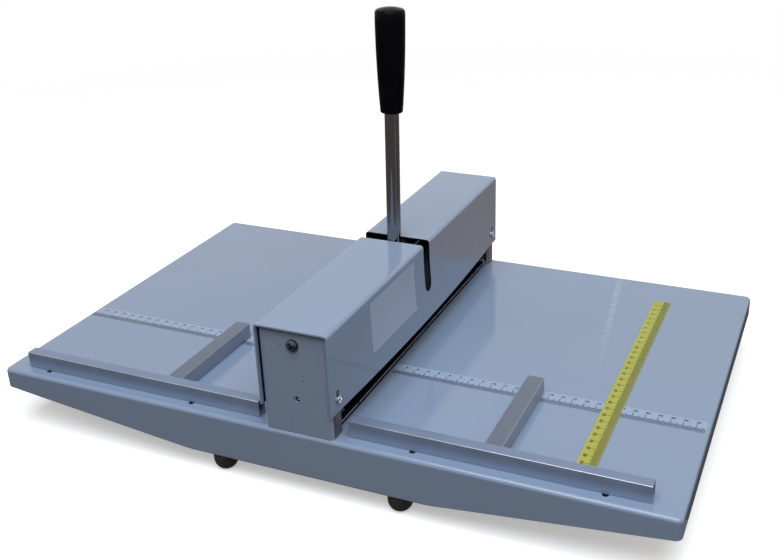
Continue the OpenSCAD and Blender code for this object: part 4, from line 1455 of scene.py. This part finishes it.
@dataclass
class Lever:
    """The shaft with its cams, and the handle with its grip."""

    shaft_z: float = 135.3
    end_y: float = 186.6
    end_turns: tuple[float, float] = (20.0, 64.0)
    end_screw: CrossScrew = CrossScrew(4.96, 9.52, 3.24, 12.0)
    handle_y: float = 1.0
    lean: float = 1.0
    grip_low: float = 131.0
    grip_top: float = 219.0
    grip_low_r: float = 9.7
    grip_top_r: float = 12.7
    grip_foot_r: float = 1.2
    grip_sharp: float = 60.0
    bore: float = 20.0
    rod_r: float = 6.3
    shoulder: float = 3.05
    shoulder_end: float = 84.0
    dome: float = 1.52

    def grip_profile(self) -> np.ndarray:
        """The outline of the grip: bore, rounded foot, side, shoulder and dome.

        From the shoulder down, the side falls in by the square of the share of its length. The
        dome falls by the square of the share of its radius.

        Returns:
            Radius and distance from the shaft of each point.
        """
        low_z = self.grip_low + self.grip_foot_r
        foot = arc((self.grip_low_r - self.grip_foot_r, low_z), self.grip_foot_r, -90.0, 0.0, 6)
        side_z = self.grip_top - self.dome - self.shoulder
        share = np.linspace(1.0, 0.0, 13)[1:-1]
        side_r = self.grip_top_r - (self.grip_top_r - self.grip_low_r) * share**2
        side = np.stack([side_r, side_z + (low_z - side_z) * share], axis=-1)
        shoulder_at = (self.grip_top_r - self.shoulder, side_z)
        turn = arc(shoulder_at, self.shoulder, 0.0, self.shoulder_end, 8)
        r = np.linspace(turn[-1, 0], 0.0, 7)[1:]
        z = self.grip_top - (self.grip_top - turn[-1, 1]) * (r / turn[-1, 0]) ** 2
        bore_z = self.grip_low + self.bore
        bore = [(0.0, bore_z), (self.rod_r, bore_z), (self.rod_r, self.grip_low)]
        return np.concatenate([bore, foot, side, turn, np.stack([r, z], axis=-1)])

    def build(self, frame: Frame) -> None:
        """Dresses the lever's parts and makes the grip and the shaft's end screws.
        """
        dress(frame, Coat.CHROME, "handle_rod")
        dress(frame, Coat.GROUND_Y, "main_shaft", "handle_boss", "front_cam", "rear_cam")
        dress(frame, Coat.BLACK, "grub_screws")
        skin = Skin()
        Turning(Axis.Z, (0.0, 0.0), self.grip_profile(), 72).add(skin)
        lean = np.array(Matrix.Rotation(math.radians(self.lean), 3, "Y"))
        skin.points = [p @ lean.T + (0.0, self.handle_y, self.shaft_z) for p in skin.points]
        piece = skin.build("black_grip", [Coat.GRIP], self.grip_sharp)
        seat_piece(piece, "lever", "black_plastic", "handle_grip")
        places = [
            ((0.0, s * self.end_y, self.shaft_z), (0, s, 0), turn)
            for s, turn in zip((-1, 1), self.end_turns)
        ]
        names = "shaft_screws_crossed", "shaft_end_screws"
        seat_screws(*names, self.end_screw, places, Coat.DARK_ZINC, "lever")


@dataclass
class PressBeam:
    """The beam with its blade, clamp bar and pads."""

    soft_edge: float = 0.3

    def build(self, frame: Frame) -> None:
        """Softens the beam's edges and dresses what it carries.
        """
        for node, name in (("blade_beam", "press_beam"), ("clamp_bar", "clamp_bar_black")):
            piece = refined(node, name, Coat.BLACK, self.soft_edge)
            seat_piece(piece, "beam", "black_steel", node)
        dress(frame, Coat.GROUND_Y, "creasing_blade", "front_pad", "rear_pad")
        dress(frame, Coat.ZINC, "clamp_screws")


@dataclass
class Fences:
    """The two hollow fence bars along the front, with the screws that hold them."""

    y: float = -172.0
    wall: float = 1.5
    corner_r: float = 0.5
    edge: float = 0.12
    screw_turn: float = 31.0
    screw: CrossScrew = CrossScrew(4.0, 7.0, 2.6, 4.7)
    screw_x: tuple[float, ...] = (-255.5, -107.0, 92.5, 241.0)
    screw_z: float = 53.8
    hole_r: float = 2.0
    hole_z: tuple[float, float] = (53.5, 59.5)

    def build(self) -> None:
        """Makes both bars and the screws below them, each turned a little further."""
        for side in ("left", "right"):
            skin = Skin()
            node = f"{side}_fence"
            Bar.of_node(node, Axis.X, self.corner_r, self.edge, self.wall).add(skin)
            # The second slot paints a highlight on the bar's long rounded edges.
            piece = skin.build(f"{node}_bar", [Coat.FENCE, Coat.ARRIS])
            holes = Skin()
            for x in self.screw_x:
                Turning(Axis.Z, (x, self.y), drum(self.hole_r, *self.hole_z), 32).add(holes)
            carve(piece, holes)
            seat_piece(piece, "frame", "aluminium", node)
        places = [
            ((x, self.y, self.screw_z), DOWN, self.screw_turn * i)
            for i, x in enumerate(self.screw_x)
        ]
        seat_screws("fence_screws_crossed", "fence_screws", self.screw, places)


@dataclass
class Stops:
    """The two sliding stops with their magnets."""

    corner_r: float = 0.4
    edge: float = 0.3
    magnet_r: float = 4.5
    magnet_in: float = 15.05
    pocket_z: tuple[float, float] = (55.0, 61.3)

    def build(self, frame: Frame) -> None:
        """Makes both bars with the pockets of their magnets.
        """
        pocket = drum(self.magnet_r, *self.pocket_z)
        for node in ("left_stop", "right_stop"):
            skin = Skin()
            bar = Bar.of_node(node, Axis.Y, self.corner_r, self.edge)
            bar.add(skin)
            # The second slot paints a highlight on the bar's long rounded edges.
            piece = skin.build(f"{node}_bar", [Coat.STOP, Coat.ARRIS])
            pockets = Skin()
            for y in (bar.start + self.magnet_in, bar.end - self.magnet_in):
                Turning(Axis.Z, (bar.middle[0], y), pocket).add(pockets)
            carve(piece, pockets)
            seat_piece(piece, f"{node}_slide", "aluminium", node)
            dress(frame, Coat.NICKEL, f"{node}_magnets")


class Digits:
    """Meshes of the digits, made once from plain text, 1 unit high and centred."""

    EXTRUDE: ClassVar[float] = 0.01
    OFFSET: ClassVar[float] = 0.065
    PITCH: ClassVar[float] = 0.72

    def __init__(self) -> None:
        """Makes the ten digits."""
        self.shapes: dict[str, tuple[np.ndarray, np.ndarray]] = {}
        for digit in "0123456789":
            curve = bpy.data.curves.new("digit", "FONT")
            curve.body, curve.size, curve.resolution_u = digit, 1.0, 3
            curve.extrude, curve.offset = self.EXTRUDE, self.OFFSET
            text = linked("digit", curve)
            bpy.context.view_layer.update()
            mesh = bpy.data.meshes.new_from_object(text)
            mesh.calc_loop_triangles()
            points = np.zeros(len(mesh.vertices) * 3)
            mesh.vertices.foreach_get("co", points)
            faces = np.zeros(len(mesh.loop_triangles) * 3, int)
            mesh.loop_triangles.foreach_get("vertices", faces)
            points = points.reshape(-1, 3)
            low, high = points.min(0), points.max(0)
            points = (points - (low + high) / 2) / (high[1] - low[1])
            self.shapes[digit] = points, faces.reshape(-1, 3)
            bpy.data.objects.remove(text)
            bpy.data.curves.remove(curve)
            bpy.data.meshes.remove(mesh)

    def write(
        self,
        skin: Skin,
        number: int,
        middle: Point,
        size: float,
        right: Point,
        up: Point,
        lift: float,
    ) -> None:
        """Adds a number to a skin.

        Args:
            skin: what it is added to.
            number: the number that is written.
            middle: where its middle lies on the tape.
            size: height of its digits.
            right: the direction in which it reads.
            up: the direction of its top.
            lift: half the thickness of the ink.
        """
        word = str(number)
        for i, digit in enumerate(word):
            points, faces = self.shapes[digit]
            shift = (i - (len(word) - 1) / 2) * self.PITCH
            flat = (points[:, :1] + shift) * np.array(right) + points[:, 1:2] * np.array(up)
            thick = np.sign(points[:, 2:]) * np.array((0.0, 0.0, lift))
            skin.patch(flat * size + thick + np.array(middle), faces)


@dataclass(frozen=True)
class Ruler:
    """A printed tape: ticks at each millimetre, longer at 5 and 10, and a number at each 10.

    Its print has a first millimetre, the place of its zero and the last place that is printed.
    """

    name: str
    along: Axis
    first: int
    zero: float
    last: float
    top: float
    edge: float
    inward: float
    tick_ends: tuple[float, float, float]
    tick_width: float
    number_at: float
    number_shift: float
    number_size: float
    ink: Coat = Coat.INK
    slot: str = "white_vinyl"
    ink_low: float = -0.02
    ink_high: float = 0.03

    def tick_shape(self, length: float) -> tuple[np.ndarray, np.ndarray]:
        """A tick as a thin block, which starts on the tape's edge line.

        Args:
            length: how far it reaches in from the line.

        Returns:
            Its eight corners and the faces between them.
        """
        w = self.tick_width / 2
        across = np.array([-w, w, w, -w] * 2)
        inward = np.array([0.0, 0.0, length, length] * 2) * self.inward
        up = np.repeat([self.ink_low, self.ink_high], 4)
        sides = (across, inward) if self.along is Axis.X else (inward, across)
        faces = np.array(
            [[3, 2, 1, 0], [4, 5, 6, 7], [0, 1, 5, 4], [1, 2, 6, 5], [2, 3, 7, 6], [3, 0, 4, 7]]
        )
        return np.stack([*sides, up], axis=-1), faces

    def places(self, along: np.ndarray, across: float, up: float) -> np.ndarray:
        """Places on the tape, by their distance along it and across it."""
        return self.along.place(np.full_like(along, across), np.full_like(along, up), along)

    def build(self, digits: Digits) -> None:
        """Makes the print of the tape.

        Across the machine the numbers read as they rise, with their tops towards the ticks.

        Args:
            digits: the shapes of the digits.
        """
        skin = Skin()
        rise = math.copysign(1.0, self.last - self.zero)
        count = int(abs(self.last - self.zero))
        steps = np.arange(self.first, count + 1)
        kinds = (steps % 10 == 0, (steps % 5 == 0) & (steps % 10 != 0), steps % 5 != 0)
        for chosen, length in zip(kinds, self.tick_ends):
            moves = self.places(self.zero + rise * steps[chosen], self.edge, self.top)
            skin.copies(*self.tick_shape(length), moves)
        right, up = (1.0, 0.0, 0.0), (0.0, 1.0, 0.0)
        if self.along is Axis.Y:
            right, up = (0.0, rise, 0.0), (1.0, 0.0, 0.0)
        numbers = np.arange(-(-self.first // 10), count // 10 + 1)
        along = self.zero + rise * numbers * 10 + self.number_shift
        middles = self.places(along, self.number_at, self.top + (self.ink_low + self.ink_high) / 2)
        lift = (self.ink_high - self.ink_low) / 2
        for number, middle in zip(numbers, middles):
            digits.write(skin, number, middle, self.number_size, right, up, lift)
        seat_piece(skin.build(self.name, [self.ink]), "frame", self.slot)


@dataclass
class Scales:
    """The two white scales, the yellow cross scale and their print."""

    right: Ruler = Ruler(
        name="right_scale_print",
        along=Axis.X,
        first=12,
        zero=16.0,
        last=293.6,
        top=57.2,
        edge=-74.15,
        inward=1.0,
        tick_ends=(10.2, 7.0, 5.5),
        tick_width=0.58,
        number_at=-60.9,
        number_shift=1.35,
        number_size=2.7,
    )
    cross: Ruler = Ruler(
        name="cross_scale_print",
        along=Axis.Y,
        first=1,
        zero=143.1,
        last=-166.2,
        top=58.2,
        edge=226.7,
        inward=-1.0,
        tick_ends=(9.0, 6.6, 5.4),
        tick_width=0.48,
        number_at=215.6,
        number_shift=0.0,
        number_size=2.9,
        ink=Coat.TAPE_INK,
        slot="yellow_tape",
    )

    def build(self, frame: Frame) -> None:
        """Dresses the tapes and prints them. The left print counts the other way.
        """
        dress(frame, Coat.WHITE, "left_scale", "right_scale")
        dress(frame, Coat.YELLOW, "cross_scale")
        left = replace(
            self.right, name="left_scale_print", zero=-self.right.zero, last=-self.right.last
        )
        digits = Digits()
        for ruler in (self.right, left, self.cross):
            ruler.build(digits)


# Studio


@dataclass(frozen=True)
class Lamp:
    """A square soft lamp that faces the machine."""

    name: str
    at: Point
    size: float
    power: float
    tone: Colour
    aim: Point = (0.0, 0.0, 0.1)

    def build(self) -> None:
        """Adds the lamp."""
        data = bpy.data.lights.new(self.name, "AREA")
        data.size, data.energy, data.color = self.size, self.power, self.tone
        way = Vector(self.aim) - Vector(self.at)
        turned = way.to_track_quat("-Z", "Y").to_matrix().to_4x4()
        linked(self.name, data).matrix_world = Matrix.Translation(self.at) @ turned


@dataclass(frozen=True)
class Card:
    """A sector of card that lies on the floor round the machine, which only gloss sees.

    It has two directions in degrees, an inner and an outer radius in metres, and a colour.
    """

    name: str
    turns: tuple[float, float]
    reach: tuple[float, float]
    tone: Colour
    height: float = 0.0005
    steps: int = 31

    def build(self) -> None:
        """Lays the card: each radius times the cosine and sine of each direction."""
        turn = np.radians(np.linspace(*self.turns, self.steps))[:, None]
        radius = np.array([self.reach])
        x, y = radius * np.cos(turn), radius * np.sin(turn)
        points = np.stack([x, y, 0 * x + self.height], axis=-1).reshape(-1, 3)
        quads = grid_quads(self.steps, len(self.reach), False, False)
        mesh = bpy.data.meshes.new(self.name)
        mesh.from_pydata(points.tolist(), [], quads.tolist())
        tree = FinishTree(bpy.data.materials.new(self.name))
        mesh.materials.append(tree.ended(tree.plain("ShaderNodeEmission", self.tone)))
        card = linked(self.name, mesh)
        card.visible_camera = card.visible_diffuse = card.visible_shadow = False
        card.visible_transmission = False


@dataclass
class Studio:
    """Floor, cards, lamps, world and camera, matched to the photograph's view.

    The cards keep the black grip black and give bright metal and the cover's wall the brown room
    of the photograph to show. A narrow pale card makes the streak on the chromed rod.
    """

    camera_at: Point = (0.3633, -0.7761, 0.5027)
    focal_px: float = 1031.62
    middle_px: tuple[float, float] = (422.44, 273.98)
    frame_px: tuple[int, int] = (782, 560)
    sensor: float = 36.0
    right: Point = (0.921508, 0.387721, -0.022265)
    down: Point = (0.14155, -0.388708, -0.910423)
    forward: Point = (-0.361645, 0.83581, -0.41308)
    floor_half: float = 9.0
    floor_paint: float = 0.82
    floor_glow: float = 0.42
    floor_dim: Colour = (0.16, 0.13, 0.11)
    white_from: float = 0.6
    white_to: float = 1.7
    ambient: Colour = (0.28, 0.255, 0.22)
    dark: Colour = (0.17, 0.145, 0.125)
    warm: Colour = (0.4, 0.29, 0.19)
    near: Colour = (0.04, 0.034, 0.038)
    streak: Colour = (0.45, 0.45, 0.45)
    inner_r: float = 0.01
    near_r: float = 0.44
    card_r: float = 2.2
    lamps: tuple[Lamp, ...] = (
        Lamp("front", (0.32, -0.85, 2.15), 2.0, 62.0, (0.93, 1.0, 1.09)),
        Lamp("side", (1.5, 0.3, 0.7), 1.0, 1.5, (1.2, 1.0, 0.8)),
    )

    def cards(self) -> tuple[Card, ...]:
        """The cards round the machine.

        Returns:
            A dark ring with a warm sector to the right at the rear, a pale one to the front right,
            and a darker one close to the machine on that side.
        """
        whole, outer = (self.inner_r, self.card_r), (self.near_r, self.card_r)
        return (
            Card("near_card", (-20.0, 50.0), (self.inner_r, self.near_r), self.near),
            Card("right_card", (-13.0, 50.0), outer, self.dark),
            Card("streak_card", (-20.0, -13.0), outer, self.streak),
            Card("warm_card", (50.0, 100.0), whole, self.warm),
            Card("left_card", (100.0, 340.0), whole, self.dark),
        )

    def build_camera(self) -> None:
        """Makes the camera from the fitted view: its axes, its focal length and its middle."""
        width, height = self.frame_px
        data = bpy.data.cameras.new("view")
        data.sensor_width = self.sensor
        data.lens = self.focal_px * self.sensor / width
        data.shift_x = (width / 2 - self.middle_px[0]) / width
        data.shift_y = (self.middle_px[1] - height / 2) / width
        place = np.eye(4)
        place[:3, :3] = np.array([self.right, -np.array(self.down), -np.array(self.forward)]).T
        place[:3, 3] = self.camera_at
        camera = linked("view", data)
        camera.matrix_world = Matrix(place.tolist())
        bpy.context.scene.camera = camera

    def build_floor(self) -> None:
        """Makes a pale floor that the camera sees as white apart from the machine's shadow.

        Away from the machine it goes over to plain white, and as light it is dim.
        """
        mesh = bpy.data.meshes.new("floor")
        h = self.floor_half
        mesh.from_pydata([(-h, -h, 0), (h, -h, 0), (h, h, 0), (-h, h, 0)], [], [(0, 1, 2, 3)])
        tree = FinishTree(bpy.data.materials.new("pale_floor"))
        paint = tree.plain("ShaderNodeBsdfDiffuse", tint(PLAIN_WHITE, self.floor_paint))
        glow = tree.plain("ShaderNodeEmission", PLAIN_WHITE, Strength=self.floor_glow)
        lit = tree.node("ShaderNodeAddShader", None, {0: paint, 1: glow}).outputs[0]
        far = tree.plain("ShaderNodeEmission", PLAIN_WHITE)
        away = tree.node("ShaderNodeVectorMath", {"operation": "LENGTH"}, {0: tree.here()})
        share = Signal(tree, away.outputs["Value"]).ramp(self.white_from, self.white_to)
        dim = tree.plain("ShaderNodeBsdfDiffuse", self.floor_dim)
        seen = tree.blended(share, lit, far)
        mesh.materials.append(tree.ended(tree.blended(tree.shown(), dim, seen)))
        linked("floor", mesh)

    def build_world(self) -> None:
        """Makes a world that is white to the camera, in gloss and through glass, and dim as light."""
        world = bpy.data.worlds.new("studio")
        bpy.context.scene.world = world
        tree = FinishTree(world)
        room = tree.plain("ShaderNodeBackground", self.ambient)
        back = tree.plain("ShaderNodeBackground", PLAIN_WHITE)
        mixed = tree.blended(tree.shown(), room, back)
        tree.node("ShaderNodeOutputWorld", None, {"Surface": mixed})

    def build(self) -> None:
        """Makes the whole studio."""
        bpy.context.scene.view_settings.view_transform = "Standard"
        self.build_camera()
        self.build_floor()
        for thing in (*self.cards(), *self.lamps):
            thing.build()
        self.build_world()
        LOG.info("studio ready")


def main() -> None:
    """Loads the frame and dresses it."""
    logging.basicConfig(level=logging.INFO, format="%(name)s: %(message)s")
    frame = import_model()
    Table().build(frame)
    Bed().build()
    Head().build(frame)
    CoverShell().build()
    Lever().build(frame)
    PressBeam().build(frame)
    Fences().build()
    Stops().build(frame)
    Scales().build(frame)
    Studio().build()


if __name__ == "__main__":
    main()
